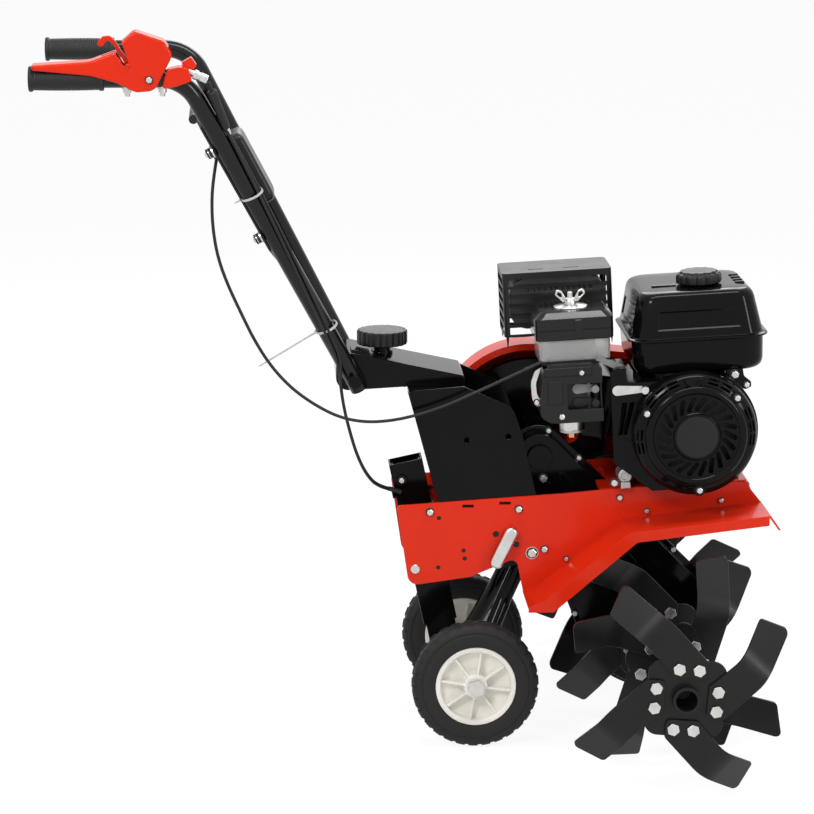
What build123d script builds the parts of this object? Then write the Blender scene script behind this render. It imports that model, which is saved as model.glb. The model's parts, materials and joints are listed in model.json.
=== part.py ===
from build123d import *
import math
import os

os.makedirs("parts", exist_ok=True)

# Walk-behind garden tiller.  Millimetres; X runs to the front, Y to the machine's left, Z up.
# The pieces are drawn with X zero over the wheel axle and are centred when they are exported.

# Fits
running_gap = 0.05      # radial space of a turning fit
side_gap = 0.5          # space between pieces that pass each other

# Frame
frame_half = 105.0
side_sheet = 4.0
fender_sheet = 3.0
fender_reach = frame_half + 95.0
panel_sheet = 4.0
inside = frame_half - side_sheet

# Wheels and their carriage
wheel_radius = 100.0
wheel_width = 46.0
wheel_y = frame_half + 17.0 + wheel_width / 2
rim_radius = 58.0
stub_radius = 8.0
carriage_x = 92.0
carriage_z = 300.0
sleeve_radius = 16.0
pin_radius = 10.0
clamp_x = 58.0
clamp_z = 334.0
clamp_stud = 4.0

# Tines
tine_x = 293.0
tine_places = {"inner": 120.0, "middle": 275.0, "outer": 430.0}
tine_phase = {"inner": -2.0, "middle": 27.0, "outer": -4.76}
tine_shaft_radius = 15.0
hub_radius = 21.0
socket_radius = 16.0
socket_depth = 60.0
hub_plate_size = 118.0
hub_plate = 6.0
blade_sheet = 5.0
blade_pitch = 46.5
bolt_spread = 30.0
bend_start = 55.0
bend_radius = 55.0
bend_angle = 42.0

# Drive
input_x = 110.0
input_z = 437.0
shaft_radius = 10.0
case_half = 28.0
case_wall = 3.0
case_small = 36.0
case_large = 103.0
case_flange = 9.5
small_teeth = 12
large_teeth = 42
chain_pitch = 12.7
pulley_y = frame_half + 35.0
pulley_width = 20.0
driven_radius = 125.0
drive_radius = 36.0
belt_depth = 8.0
belt_width = 12.0
idler_radius = 22.0
idler_pivot_x = 226.0
idler_pivot_z = 386.0

# Handle
pivot_x = -186.0
pivot_z = 577.0
tube_radius = 14.0
tube_wall = 2.0
pivot_rod = 6.0
beam_half = 60.0
beam_top = pivot_z + 27.0
bridge_z = pivot_z - 17.0
grip_y = 217.0
grip_z = 1064.0
grip_end_x = -668.0
corner_x = -441.0
grip_radius = 18.0
lever_x = corner_x - 52.0
lever_z = grip_z
lever_sheet = 3.0
lever_half = grip_radius + lever_sheet + 0.8
knob_x = -139.0

# Depth stake
stake_lean = 12.0
stake_top_x = -103.0
stake_top_z = 430.0

# Engine, drawn level on its bed and then pitched with the frame
engine_x = 338.0
engine_z = 409.0
engine_pitch = 3.0
crank_x = 5.0
crank_z = 94.0


def outline(points, radii=0.0):
    """Closed flat outline, with rounded corners where radii are given."""
    if radii == 0.0:
        return make_face(Polyline(*points, close=True))
    return make_face(FilletPolyline(*points, radius=radii, close=True))


def plate(points, y0, y1, radii=0.0):
    """An outline of (x, z) points carried from y0 to y1."""
    return Pos(0, y0, 0) * extrude(Plane.XZ * outline(points, radii), amount=y1 - y0, dir=(0, 1, 0))


def rod(x, z, radius, y0, y1):
    """Round bar along Y."""
    bar = Cylinder(radius, y1 - y0, align=(Align.CENTER, Align.CENTER, Align.MIN))
    return Pos(x, y0, z) * Rot(-90, 0, 0) * bar


def tube(x, z, radius, bore, y0, y1):
    """Round tube along Y."""
    return rod(x, z, radius, y0, y1) - rod(x, z, bore, y0, y1)


def block(x0, x1, y0, y1, z0, z1):
    """Box given by its limits."""
    return Pos((x0 + x1) / 2, (y0 + y1) / 2, (z0 + z1) / 2) * Box(x1 - x0, y1 - y0, z1 - z0)


def post(x, y, radius, z0, z1):
    """Round bar along Z."""
    return Pos(x, y, z0) * Cylinder(radius, z1 - z0, align=(Align.CENTER, Align.CENTER, Align.MIN))


def hexagon(x, z, across, y0, y1):
    """Hexagonal bar along Y."""
    corner = across / math.sqrt(3)
    points = []
    for k in range(6):
        a = math.radians(60 * k + 15)
        points.append((x + corner * math.cos(a), z + corner * math.sin(a)))
    return plate(points, y0, y1)


def left_of(shape):
    """The same piece on the other side of the machine."""
    return mirror(shape, about=Plane.XZ)


def offset_path(points, distance):
    """Points of an open path moved to its left by a distance, with mitred corners."""
    moved = []
    last = len(points) - 1
    for k, (x, z) in enumerate(points):
        headings = []
        if k > 0:
            headings.append(math.atan2(z - points[k - 1][1], x - points[k - 1][0]))
        if k < last:
            headings.append(math.atan2(points[k + 1][1] - z, points[k + 1][0] - x))
        mean = sum(headings) / len(headings)
        half = (headings[-1] - headings[0]) / 2
        reach = distance / math.cos(half)
        moved.append((x - reach * math.sin(mean), z + reach * math.cos(mean)))
    return moved


def strip(points, thickness, y0, y1):
    """Folded sheet whose lower face follows the points."""
    return plate(points + offset_path(points, thickness)[::-1], y0, y1)


def hull(circles):
    """Outline around circles (x, z, radius) named anticlockwise, with straight sides between them."""
    count = len(circles)
    starts = []
    ends = []
    for k in range(count):
        x0, z0, r0 = circles[k]
        x1, z1, r1 = circles[(k + 1) % count]
        length = math.hypot(x1 - x0, z1 - z0)
        ux, uz = (x1 - x0) / length, (z1 - z0) / length
        s = (r0 - r1) / length
        c = math.sqrt(1 - s * s)
        nx, nz = ux * s + uz * c, uz * s - ux * c
        starts.append((x0 + r0 * nx, z0 + r0 * nz))
        ends.append((x1 + r1 * nx, z1 + r1 * nz))
    edges = []
    for k in range(count):
        x, z, r = circles[k]
        first = ends[k - 1]
        second = starts[k]
        a0 = math.atan2(first[1] - z, first[0] - x)
        a1 = math.atan2(second[1] - z, second[0] - x)
        if a1 < a0:
            a1 += 2 * math.pi
        middle = (x + r * math.cos((a0 + a1) / 2), z + r * math.sin((a0 + a1) / 2))
        edges.append(ThreePointArc(first, middle, second))
        edges.append(Line(second, ends[k]))
    return make_face(edges)


def hull_plate(circles, y0, y1, grow=0.0):
    """A hull carried from y0 to y1, grown all round by a distance."""
    grown = [(x, z, r + grow) for x, z, r in circles]
    return Pos(0, y0, 0) * extrude(Plane.XZ * hull(grown), amount=y1 - y0, dir=(0, 1, 0))


def bent_wire(points, radii):
    """Straight runs through points in space, joined by tangent arcs."""
    edges = []
    start = Vector(*points[0])
    for k in range(1, len(points) - 1):
        before, corner, after = (Vector(*points[k + j]) for j in (-1, 0, 1))
        inward = (before - corner).normalized()
        outward = (after - corner).normalized()
        half = inward.get_angle(outward) / 2
        back = radii[k - 1] / math.tan(math.radians(half))
        first = corner + inward * back
        last = corner + outward * back
        bisector = (inward + outward).normalized()
        middle = corner + bisector * (radii[k - 1] / math.sin(math.radians(half)) - radii[k - 1])
        if (first - start).length > 1e-4:
            edges.append(Line(start, first))
        edges.append(ThreePointArc(first, middle, last))
        start = last
    edges.append(Line(start, Vector(*points[-1])))
    return Wire(edges)


def pipe(wire, radius):
    """Round section carried along a wire."""
    section = Plane(origin=wire @ 0, z_dir=wire % 0) * Circle(radius)
    return sweep(section, path=wire)


def toothed(x, z, teeth, pitch, y0, y1):
    """Sprocket disc; each tooth is a plain trapezium."""
    radius = pitch / (2 * math.sin(math.pi / teeth))
    step = 2 * math.pi / teeth
    points = []
    for k in range(teeth):
        for part, reach in ((-0.32, -3.5), (-0.16, 3.5), (0.16, 3.5), (0.32, -3.5)):
            a = (k + part) * step
            points.append((x + (radius + reach) * math.cos(a), z + (radius + reach) * math.sin(a)))
    return plate(points, y0, y1)


def pitched(shape):
    """Engine piece moved from its level drawing to its place on the frame."""
    return Pos(engine_x, 0, engine_z) * Rot(0, -engine_pitch, 0) * shape


def leaning(shape):
    """Depth stake piece moved from its upright drawing to its place."""
    return Pos(stake_top_x, 0, stake_top_z) * Rot(0, -stake_lean, 0) * shape


def engine_point(x, z):
    """Place on the machine of a point (x, z) of the level engine drawing."""
    a = math.radians(engine_pitch)
    return (engine_x + x * math.cos(a) - z * math.sin(a), engine_z + x * math.sin(a) + z * math.cos(a))


def group(shapes):
    """Several like pieces kept together as separate solids."""
    return Compound([solid for shape in shapes for solid in shape.solids()])


nodes = {}

# Tines

blade_points = [(-14, -27), (14, -27), (67.7, 29), (109.8, 100.8), (60.5, 119), (30.3, 65), (-8, 27),
                (-14, 22)]
blade_radii = [8, 10, 110, 9, 6, 90, 8, 3]


def blade(side):
    """One sickle blade on the +X side of its hub, its tip bent towards +Y for side 1."""
    heading = math.radians(52.0)
    flat = outline([(blade_pitch + u, v) for u, v in blade_points], blade_radii)
    shape = Pos(0, -100, 0) * extrude(Plane.XZ * flat, amount=200, dir=(0, 1, 0))
    bend = math.radians(bend_angle)
    corner = bend_start + bend_radius * math.tan(bend / 2)
    path = [(-60, 0), (corner, 0), (corner + 130 * math.cos(bend), 130 * math.sin(bend))]
    other = offset_path(path, -blade_sheet)
    profile = path + other[::-1]
    radii = [0, bend_radius, 0, 0, bend_radius + blade_sheet, 0]
    sheet = extrude(outline(profile, radii), amount=260, both=True)
    across = Plane(
        origin=(blade_pitch, 0, 0),
        x_dir=(math.cos(heading), 0, math.sin(heading)),
        z_dir=(-math.sin(heading), 0, math.cos(heading)),
    )
    shape = shape & (across * sheet)
    for v in (-bolt_spread / 2, bolt_spread / 2):
        shape -= rod(blade_pitch, v, 5.2, -20, 20)
    return shape if side > 0 else mirror(shape, about=Plane.XZ)


def turned(shape, degrees):
    """Piece turned about the tine axle, anticlockwise as seen from the machine's right."""
    return Rot(0, -degrees, 0) * shape


blade_in = blade(1)
blade_out = blade(-1)
tine_z = -min(turned(blade_in, phase + 90 * k).bounding_box().min.Z
              for phase in tine_phase.values() for k in range(4))


def on_axle(shape):
    """Piece moved from the origin to the tine axle."""
    return Pos(tine_x, 0, tine_z) * shape


inner_end = (tine_places["inner"] + tine_places["middle"]) / 2
middle_end = (tine_places["middle"] + tine_places["outer"]) / 2
hub_ends = {"inner": (case_half + 6, inner_end), "middle": (inner_end, middle_end),
            "outer": (middle_end, tine_places["outer"] + 16)}
shaft_end = hub_ends["outer"][1] - socket_depth - side_gap
hub_solids = []
blade_solids = []
bolt_solids = []
pin_solids = []
half_plate = hub_plate_size / 2
hub_square = [(-half_plate, -half_plate), (half_plate, -half_plate),
              (half_plate, half_plate), (-half_plate, half_plate)]
for name, place in tine_places.items():
    near, far = hub_ends[name]
    phase = tine_phase[name]
    plate_y = -place
    hub = plate(hub_square, plate_y - hub_plate / 2, plate_y + hub_plate / 2, 22)
    hub += rod(0, 0, hub_radius, -far, -near)
    hub -= rod(0, 0, tine_shaft_radius, -far - 1, -near + 1)
    if name == "outer":
        hub -= rod(0, 0, socket_radius, -far - 1, -far + socket_depth)
    pin_y = -(near + 12)
    hub = turned(hub, phase)
    hub -= Pos(0, pin_y, 0) * Cylinder(4, 80)
    pin = Pos(0, pin_y, 0) * Cylinder(4, 2 * hub_radius + 14)
    pin += Pos(0, pin_y, hub_radius + 4) * Cylinder(7, 4)
    pin_solids.append(pin)
    for k in range(4):
        inward = name == "outer" or k % 2 == 0
        outside = name == "outer" or not inward
        one = blade_in if inward else blade_out
        if outside:
            shift = plate_y - hub_plate / 2 - (0 if inward else blade_sheet)
        else:
            shift = plate_y + hub_plate / 2 + blade_sheet
        blade_solids.append(turned(Pos(0, shift, 0) * one, phase + 90 * k))
        for v in (-bolt_spread / 2, bolt_spread / 2):
            low = plate_y - hub_plate / 2 - (blade_sheet if outside else 0)
            high = low + hub_plate + blade_sheet
            screw = rod(blade_pitch, v, 5, low, high + 8)
            screw += hexagon(blade_pitch, v, 17, low - 6, low)
            screw += hexagon(blade_pitch, v, 17, high, high + 6)
            bolt_solids.append(turned(screw, phase + 90 * k))
            hub -= turned(rod(blade_pitch, v, 5, low - 1, high + 1), phase + 90 * k)
    hub_solids.append(hub)


def both_sides(solids):
    """Pieces on the axle with their mirror images on the machine's other side."""
    pair = [on_axle(s) for s in solids]
    return group(pair + [left_of(s) for s in pair])


tine_shaft = rod(0, 0, tine_shaft_radius, -shaft_end, shaft_end)
for place in hub_ends.values():
    for sign in (-1, 1):
        tine_shaft -= Pos(0, sign * (place[0] + 12), 0) * Cylinder(4, 80)
nodes["tine_hubs"] = both_sides(hub_solids)
nodes["tine_blades"] = both_sides(blade_solids)
nodes["tine_bolts"] = both_sides(bolt_solids + pin_solids)
nodes["tine_shaft"] = on_axle(tine_shaft)

# Chain case: two bolted halves around the chain, with the input shaft carried in a long bearing boss

case_body = [(input_x, input_z, case_small), (tine_x, tine_z, case_large)]
sprocket_half = 4.0
small_pitch = chain_pitch / (2 * math.sin(math.pi / small_teeth))
large_pitch = chain_pitch / (2 * math.sin(math.pi / large_teeth))


def case_half_shape():
    """Right-hand half of the chain case."""
    half = hull_plate(case_body, -case_half, 0)
    half += hull_plate(case_body, -3, 0, case_flange)
    half += rod(input_x, input_z, 20, -case_half - 8, 0)
    half += rod(tine_x, tine_z, 40, -case_half - 4, 0)
    half -= hull_plate(case_body, -case_half + case_wall, 0, -case_wall)
    half -= rod(tine_x, tine_z, tine_shaft_radius + running_gap, -60, 1)
    return half


def case_rib(offset):
    """Raised bead along the case, moved sideways from its middle line."""
    length = math.hypot(tine_x - input_x, tine_z - input_z)
    ux, uz = (tine_x - input_x) / length, (tine_z - input_z) / length
    a = (input_x + 46 * ux - offset * uz * 0.45, input_z + 46 * uz + offset * ux * 0.45)
    b = (input_x + 230 * ux - offset * uz, input_z + 230 * uz + offset * ux)
    return hull_plate([(a[0], a[1], 5), (b[0], b[1], 5)], -case_half - 3, -case_half + 1)


case_right = case_half_shape() + case_rib(30) + case_rib(-30)
mount_places = [(138, 293), (182, 366)]
for x, z in mount_places:
    case_right += rod(x, z, 9, -(frame_half - side_sheet), -case_half + 1)
case_right -= rod(input_x, input_z, shaft_radius + running_gap, -22, 1)
case_left = left_of(case_half_shape() + case_rib(30) + case_rib(-30))
for x, z in mount_places:
    case_left += rod(x, z, 9, case_half - 1, frame_half - side_sheet)
case_left += rod(input_x, input_z, 19, case_half - 1, frame_half + 7)
case_left -= rod(input_x, input_z, shaft_radius + running_gap, -1, pulley_y - 10)
nodes["chain_case_right"] = case_right
nodes["chain_case_left"] = case_left

chain_path = [(input_x, input_z, small_pitch), (tine_x, tine_z, large_pitch)]
nodes["drive_chain"] = hull_plate(chain_path, -7, 7, 6.5) - hull_plate(chain_path, -8, 8, 4.0)

input_shaft = rod(input_x, input_z, shaft_radius, -20, pulley_y + pulley_width + 6)
input_shaft += toothed(input_x, input_z, small_teeth, chain_pitch, -sprocket_half, sprocket_half)
nodes["input_shaft"] = input_shaft
tine_sprocket = toothed(tine_x, tine_z, large_teeth, chain_pitch, -sprocket_half, sprocket_half)
tine_sprocket += rod(tine_x, tine_z, 26, -12, 12)
tine_sprocket -= rod(tine_x, tine_z, tine_shaft_radius, -13, 13)
nodes["tine_sprocket"] = tine_sprocket

# Belt drive under its cover on the left side

crank_place = engine_point(crank_x, crank_z)


def grooved(x, z, radius, bore):
    """V-belt pulley with a rectangular groove, thin web and hub."""
    wheel = rod(x, z, radius, pulley_y, pulley_y + pulley_width)
    middle = pulley_y + pulley_width / 2
    groove = rod(x, z, radius + 1, middle - belt_width / 2 - side_gap, middle + belt_width / 2 + side_gap)
    groove -= rod(x, z, radius - belt_depth - 4, pulley_y, pulley_y + pulley_width)
    wheel -= groove
    if radius > 80:
        web = tube(x, z, radius - 24, 28, pulley_y, pulley_y + 7)
        web += tube(x, z, radius - 24, 28, pulley_y + 13, pulley_y + 20)
        wheel -= web
        for k in range(5):
            a = math.radians(72 * k)
            wheel -= rod(x + 62 * math.cos(a), z + 62 * math.sin(a), 20, pulley_y, pulley_y + 20)
    return wheel - rod(x, z, bore, pulley_y - 1, pulley_y + pulley_width + 1)


nodes["driven_pulley"] = grooved(input_x, input_z, driven_radius, shaft_radius)
nodes["engine_pulley"] = grooved(*crank_place, drive_radius, shaft_radius)
belt_inner = driven_radius - belt_depth - 2
belt_path = [(input_x, input_z, belt_inner), (*crank_place, drive_radius - belt_depth - 2)]
belt_y = pulley_y + (pulley_width - belt_width) / 2
nodes["drive_belt"] = (hull_plate(belt_path, belt_y, belt_y + belt_width, belt_depth)
                       - hull_plate(belt_path, belt_y - 1, belt_y + belt_width + 1))

idler_x, idler_z = 308.3, 403.0
arm = hull_plate([(idler_pivot_x, idler_pivot_z, 14), (idler_x, idler_z, 11)], pulley_y - 14, pulley_y - 8)
arm += rod(idler_pivot_x, idler_pivot_z, 12, frame_half + 1, pulley_y - 14)
arm += rod(idler_x, idler_z, 6, pulley_y - 8, pulley_y + 24)
arm -= rod(idler_pivot_x, idler_pivot_z, 7 + running_gap, frame_half - 5, pulley_y)
arm += rod(idler_x, idler_z, 10, pulley_y + 22.5, pulley_y + 26)
nodes["idler_arm"] = arm
idler = rod(idler_x, idler_z, idler_radius, pulley_y + 2, pulley_y + 22)
idler -= tube(idler_x, idler_z, idler_radius + 1, idler_radius - 3, pulley_y + 5, pulley_y + 19)
nodes["idler_pulley"] = idler - rod(idler_x, idler_z, 6 + running_gap, pulley_y + 1, pulley_y + 23)

cover_circle = (105.0, 446.0, 146.0)


def cover_body(y0, y1, grow=0.0):
    """Outline of the belt cover, around both pulleys and with a bulge for the idler."""
    body = hull_plate([cover_circle, (*crank_place, 65)], y0, y1, grow)
    bulge = [(idler_pivot_x, idler_pivot_z, 22), (idler_x + 2, idler_z - 5, 33), (*crank_place, 65)]
    return body + hull_plate(bulge, y0, y1, grow)


cover_y0 = pulley_y - 22
cover_y1 = pulley_y + pulley_width + 18
cover = cover_body(cover_y0, cover_y1) - cover_body(cover_y0 + 2, cover_y1 - 2, -2)
cover -= cover_body(cover_y0 - 1, cover_y0 + 3, -11)
pad = hull_plate([cover_circle, (*crank_place, 65)], cover_y1 - 1, cover_y1 + 4, -16)
cover += pad - hull_plate([cover_circle, (*crank_place, 65)], cover_y1 - 3, cover_y1 + 2, -18)
cover -= hull_plate([cover_circle, (*crank_place, 65)], cover_y1 - 3, cover_y1 + 1, -19)
for degrees in (205.0, 243.0, 296.0):
    a = math.radians(degrees)
    reach = cover_circle[2] - 6
    x, z = cover_circle[0] + reach * math.cos(a), cover_circle[1] + reach * math.sin(a)
    cover += rod(x, z, 6, frame_half, cover_y0 + 1)
nodes["belt_cover"] = cover

# Frame: two folded side plates with fenders, the engine bed, the handle support and its beam

side_points = [(-121, 379), (-102, 249), (-6, 262), (48, 284), (60, 289), (69, 284), (79, 234),
               (106, 246), (236, 352), (455, 376), (427, 411), (230, 403), (135, 395)]
side_radii = [6, 16, 20, 8, 9, 8, 3, 12, 60, 3, 6, 80, 80]
fender_line = [(79, 234), (106, 246), (236, 352), (452, 375.7), (467, 355)]
lip_low = [(452, 363), (247, 339), (118, 229), (79, 229)]
plain_holes = [(-55, 358, 3.5), (-16, 305, 3.5), (-14, 292, 3.5), (-56, 278, 3.5), (35, 331, 5), (67, 314, 5)]
side_right = plate(side_points, -frame_half, -frame_half + side_sheet, side_radii)
side_right += strip(fender_line, fender_sheet, -fender_reach, -frame_half + side_sheet)
side_right += plate(fender_line[:4] + lip_low, -fender_reach, -fender_reach + fender_sheet)
for x, z, radius in plain_holes:
    side_right -= rod(x, z, radius, -frame_half - 1, -frame_half + side_sheet + 1)
for x, z in ((-9, 377), (49, 381)):
    side_right -= block(x - 9, x + 9, -frame_half - 1, -frame_half + side_sheet + 1, z - 2.5, z + 2.5)
side_left = left_of(side_right)
side_left -= rod(idler_pivot_x, idler_pivot_z, 7, inside - 5, frame_half + 5)
side_right -= rod(clamp_x, clamp_z, clamp_stud + running_gap, -frame_half - 9, -inside + 9)
for_pin = rod(carriage_x, carriage_z, pin_radius, -frame_half - 15, frame_half + 15)
nodes["side_plate_right"] = side_right - for_pin
nodes["side_plate_left"] = side_left - for_pin

bed = pitched(block(-140, 92, -inside, inside, -6, 0))
for y in (-inside, inside - 4):
    bed += pitched(block(-140, 92, y, y + 4, -40, -6))
bed -= hull_plate(case_body, -case_half - 12, case_half + 12, case_flange + 6)
bed += strip([(424, 413.5), (433, 409.5), (447, 374), (464, 354)], -3, -inside, inside)
nodes["engine_bed"] = bed

panel_points = [(-104, 561), (-50, 362), (103, 372), (76, 490), (61, 533), (-17, 568)]
support = plate(panel_points, -inside, -inside + panel_sheet, [8, 4, 10, 16, 26, 14])
for x, z, radius in ((-11, 482, 4.5), (54, 487, 4.5)):
    support -= rod(x, z, radius, -inside - 1, -inside + panel_sheet + 1)
support += strip([(-56, 385), (-103, 557)], -3, -inside, -inside + 24)
support += left_of(support)
support += block(-102, -12, -inside, inside, bridge_z - 4, bridge_z)
nodes["handle_support"] = support

beam_sheet = 3.4
beam_rear = pivot_x - 28
beam_nose = -12.0
nose_top = bridge_z + 17
rear_top = beam_top + 16
beam_fall = (rear_top - nose_top) / (beam_nose - beam_rear)


def beam_line(x):
    """Height of the beam's sloping top."""
    return rear_top - beam_fall * (x - beam_rear)


beam_points = [(beam_rear, bridge_z - 6), (-104, bridge_z), (beam_nose, bridge_z), (beam_nose, nose_top),
               (beam_rear, rear_top)]
beam_hollow = [(beam_rear + 6, bridge_z - 20), (beam_nose - 8, bridge_z - 20),
               (beam_nose - 8, beam_line(beam_nose - 8) - beam_sheet),
               (beam_rear + 6, beam_line(beam_rear + 6) - beam_sheet)]
beam = plate(beam_points, -beam_half, beam_half, [20, 60, 0, 6, 24])
beam -= plate(beam_hollow, -beam_half + beam_sheet, beam_half - beam_sheet, [0, 0, 4, 20])
beam += post(knob_x, 0, 17, beam_top - 8, beam_top + 4)
for sign in (-1, 1):
    beam += Pos(-58, sign * (beam_half - 10), bridge_z + 1.5) * Box(92, 20, 3)
beam -= rod(pivot_x, pivot_z, pivot_rod, -beam_half - 10, beam_half + 10)
beam -= post(knob_x, 0, 6 + running_gap, beam_top - 14, beam_top + 6)
pad_edge = [(-190, -1), (-160, -1), (-160, 4), (-190, 4)]
beam += plate([(x, beam_line(x) + rise) for x, rise in pad_edge], -50, -16)
nodes["handle_beam"] = beam
rod_half = beam_half + 2 * tube_radius + 16
rod_piece = rod(pivot_x, pivot_z, pivot_rod, -rod_half, rod_half)
for sign in (-1, 1):
    rod_piece += rod(pivot_x, pivot_z, 11, sign * (rod_half - 3) - 3, sign * (rod_half - 3) + 3)
nodes["handle_pivot_rod"] = rod_piece

knob_points = []
for k in range(24):
    a = math.radians(15 * k)
    reach = 40.0 if k % 2 == 0 else 36.0
    knob_points.append((reach * math.cos(a), reach * math.sin(a)))
knob = extrude(make_face(Polyline(*knob_points, close=True)), amount=18)
knob = Pos(knob_x, 0, beam_top + 16) * (knob + Pos(0, 0, 19.5) * Cylinder(34, 3))
knob += post(knob_x, 0, 13, beam_top + 4 + side_gap, beam_top + 17)
nodes["knob"] = knob + post(knob_x, 0, 6, beam_top - 20, beam_top + 6)

# Depth stake in its leaning guide

guide = block(-27, 27, -23, 23, -270, 0) - block(-24, 24, -20, 20, -271, 1)
guide += block(27, 31, -inside, inside, -150, -80)
for y in (-inside, inside - 4):
    guide += block(0, 31, y, y + 4, -150, -80)
guide += block(-32, -27, -32, -8, -52, -40)
guide += Pos(-12, -23, -27) * Rot(90, 0, 0) * Cylinder(9, 6, align=(Align.CENTER, Align.CENTER, Align.MIN))
nodes["stake_guide"] = leaning(guide)
stake = block(-23.5, 23.5, -19.5, 19.5, -342, -4) - block(-19.5, 19.5, -15.5, 25, -343, -3)
stake -= Pos(0, 0, -342) * Rot(0, 25, 0) * Box(120, 60, 44)
nodes["depth_stake"] = leaning(stake)

# Wheels and carriage

stub_y0 = frame_half - 7
stub_y1 = wheel_y + 31
carriage = tube(carriage_x, carriage_z, sleeve_radius, pin_radius + running_gap, -inside + 0.6, inside - 0.6)
leg_points = [(carriage_x - 4, -50, carriage_z - 9), (52, -54, 212), (0, -frame_half - 3, wheel_radius)]
leg = pipe(bent_wire(leg_points, [60]), 12.5)
leg += rod(0, wheel_radius, 15, -frame_half - 13, -frame_half + 7)
carriage += leg + left_of(leg)
carriage -= rod(carriage_x, carriage_z, pin_radius + running_gap, -frame_half - 15, frame_half + 15)
sector_y = -inside + 2
sector = rod(carriage_x, carriage_z, 58, sector_y, sector_y + 4) & plate(
    [(carriage_x + 12, carriage_z + 10), (carriage_x - 50, carriage_z + 80), (carriage_x - 90, carriage_z),
     (carriage_x - 60, carriage_z - 30), (carriage_x + 4, carriage_z - 14)], sector_y - 1, sector_y + 9)
sector -= rod(carriage_x, carriage_z, pin_radius + 3, sector_y - 1, sector_y + 9)
clamp_reach = math.hypot(clamp_x - carriage_x, clamp_z - carriage_z)
slot_half = clamp_stud + side_gap
ring = rod(carriage_x, carriage_z, clamp_reach + slot_half, sector_y - 1, sector_y + 9)
ring -= rod(carriage_x, carriage_z, clamp_reach - slot_half, sector_y - 1, sector_y + 9)
first = math.degrees(math.atan2(clamp_z - carriage_z, clamp_x - carriage_x))
wedge = [(carriage_x, carriage_z)]
for degrees in (first - 6.5, first + 22, first + 51.5):
    a = math.radians(degrees)
    wedge.append((carriage_x + 90 * math.cos(a), carriage_z + 90 * math.sin(a)))
sector -= ring & plate(wedge, sector_y - 1, sector_y + 9)
nodes["carriage"] = carriage + sector
stubs = rod(0, wheel_radius, stub_radius, -stub_y1, -stub_y0)
stubs += hexagon(0, wheel_radius, 24, -stub_y1 - 1, -stub_y1 + 7)
nodes["wheel_stubs"] = group([stubs, left_of(stubs)])
for sign in (-1, 1):
    nodes["carriage"] -= rod(0, wheel_radius, stub_radius, sign * frame_half - 15, sign * frame_half + 15)

spoke_count = 8


def wheel():
    """Rim and tyre of the right-hand wheel."""
    y0 = -wheel_y - wheel_width / 2
    y1 = -wheel_y + wheel_width / 2
    rim = rod(0, wheel_radius, rim_radius, y0 + 4, y1 - 4)
    for face0, face1 in ((y0 + 3, y0 + 15), (y1 - 15, y1 - 3)):
        pocket = tube(0, wheel_radius, rim_radius - 7, 21, face0, face1)
        for k in range(spoke_count // 2):
            spoke = Pos(0, (face0 + face1) / 2, wheel_radius) * Rot(0, 180.0 / (spoke_count / 2) * k, 0)
            pocket -= spoke * Box(2 * rim_radius, face1 - face0 + 2, 8)
        rim -= pocket
    rim += rod(0, wheel_radius, 19, y0 + 1, y1 + 3.5)
    rim -= rod(0, wheel_radius, stub_radius + running_gap, y0 - 5, y1 + 5)
    half = wheel_width / 2
    section = [(rim_radius, -half + 4), (rim_radius + 6, -half), (wheel_radius - 14, -half),
               (wheel_radius, -half + 12), (wheel_radius, half - 12), (wheel_radius - 14, half),
               (rim_radius + 6, half), (rim_radius, half - 4)]
    face = outline(section, [0, 4, 12, 12, 12, 12, 4, 0])
    tyre = revolve(Plane.XY * face, axis=Axis.Y, revolution_arc=360)
    return rim, Pos(0, -wheel_y, wheel_radius) * tyre


rim_right, tyre_right = wheel()
nodes["rim_right"] = rim_right
nodes["tyre_right"] = tyre_right
nodes["rim_left"] = left_of(rim_right)
nodes["tyre_left"] = left_of(tyre_right)

lever_tail = (36, 289)
clamp_y = -frame_half - 8
clamp = hull_plate([(clamp_x, clamp_z, 9), (*lever_tail, 9)], clamp_y - 6, clamp_y)
clamp += rod(clamp_x, clamp_z, 9, clamp_y, -frame_half - 0.4)
clamp += rod(clamp_x, clamp_z, clamp_stud, clamp_y, sector_y + 11)
clamp += rod(clamp_x, clamp_z, 7.5, sector_y + 4.5, sector_y + 11)
nodes["clamp_lever"] = clamp

frame_bolts = []
bolt_places = [(-69, 368, 13), (71, 371, 13), (112, 306, 13), (229, 388, 13), (272, 370, 13), (390, 384, 13),
               (146, 291, 8)]
for x, z, size in bolt_places:
    head = hexagon(x, z, size, -frame_half - 6, -frame_half)
    head += rod(x, z, 0.7 * size, -frame_half - 1.5, -frame_half)
    frame_bolts.append(head)
    if x != 229:
        frame_bolts.append(left_of(head))
rivet = rod(-91, 276, 8, -frame_half - 3, -frame_half)
frame_bolts += [rivet, left_of(rivet)]
pivot_bolt = rod(carriage_x, carriage_z, pin_radius, -frame_half - 1, frame_half + 1)
pivot_head = rod(carriage_x, carriage_z, pin_radius + 2, -frame_half - 3, -frame_half)
pivot_head += hexagon(carriage_x, carriage_z, 15, -frame_half - 10, -frame_half - 2)
frame_bolts.append(pivot_bolt + pivot_head + left_of(pivot_head))
idler_stub = rod(idler_pivot_x, idler_pivot_z, 7, inside, pulley_y - 5)
frame_bolts.append(idler_stub + rod(idler_pivot_x, idler_pivot_z, 12, pulley_y - 7.5, pulley_y - 2))

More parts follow.
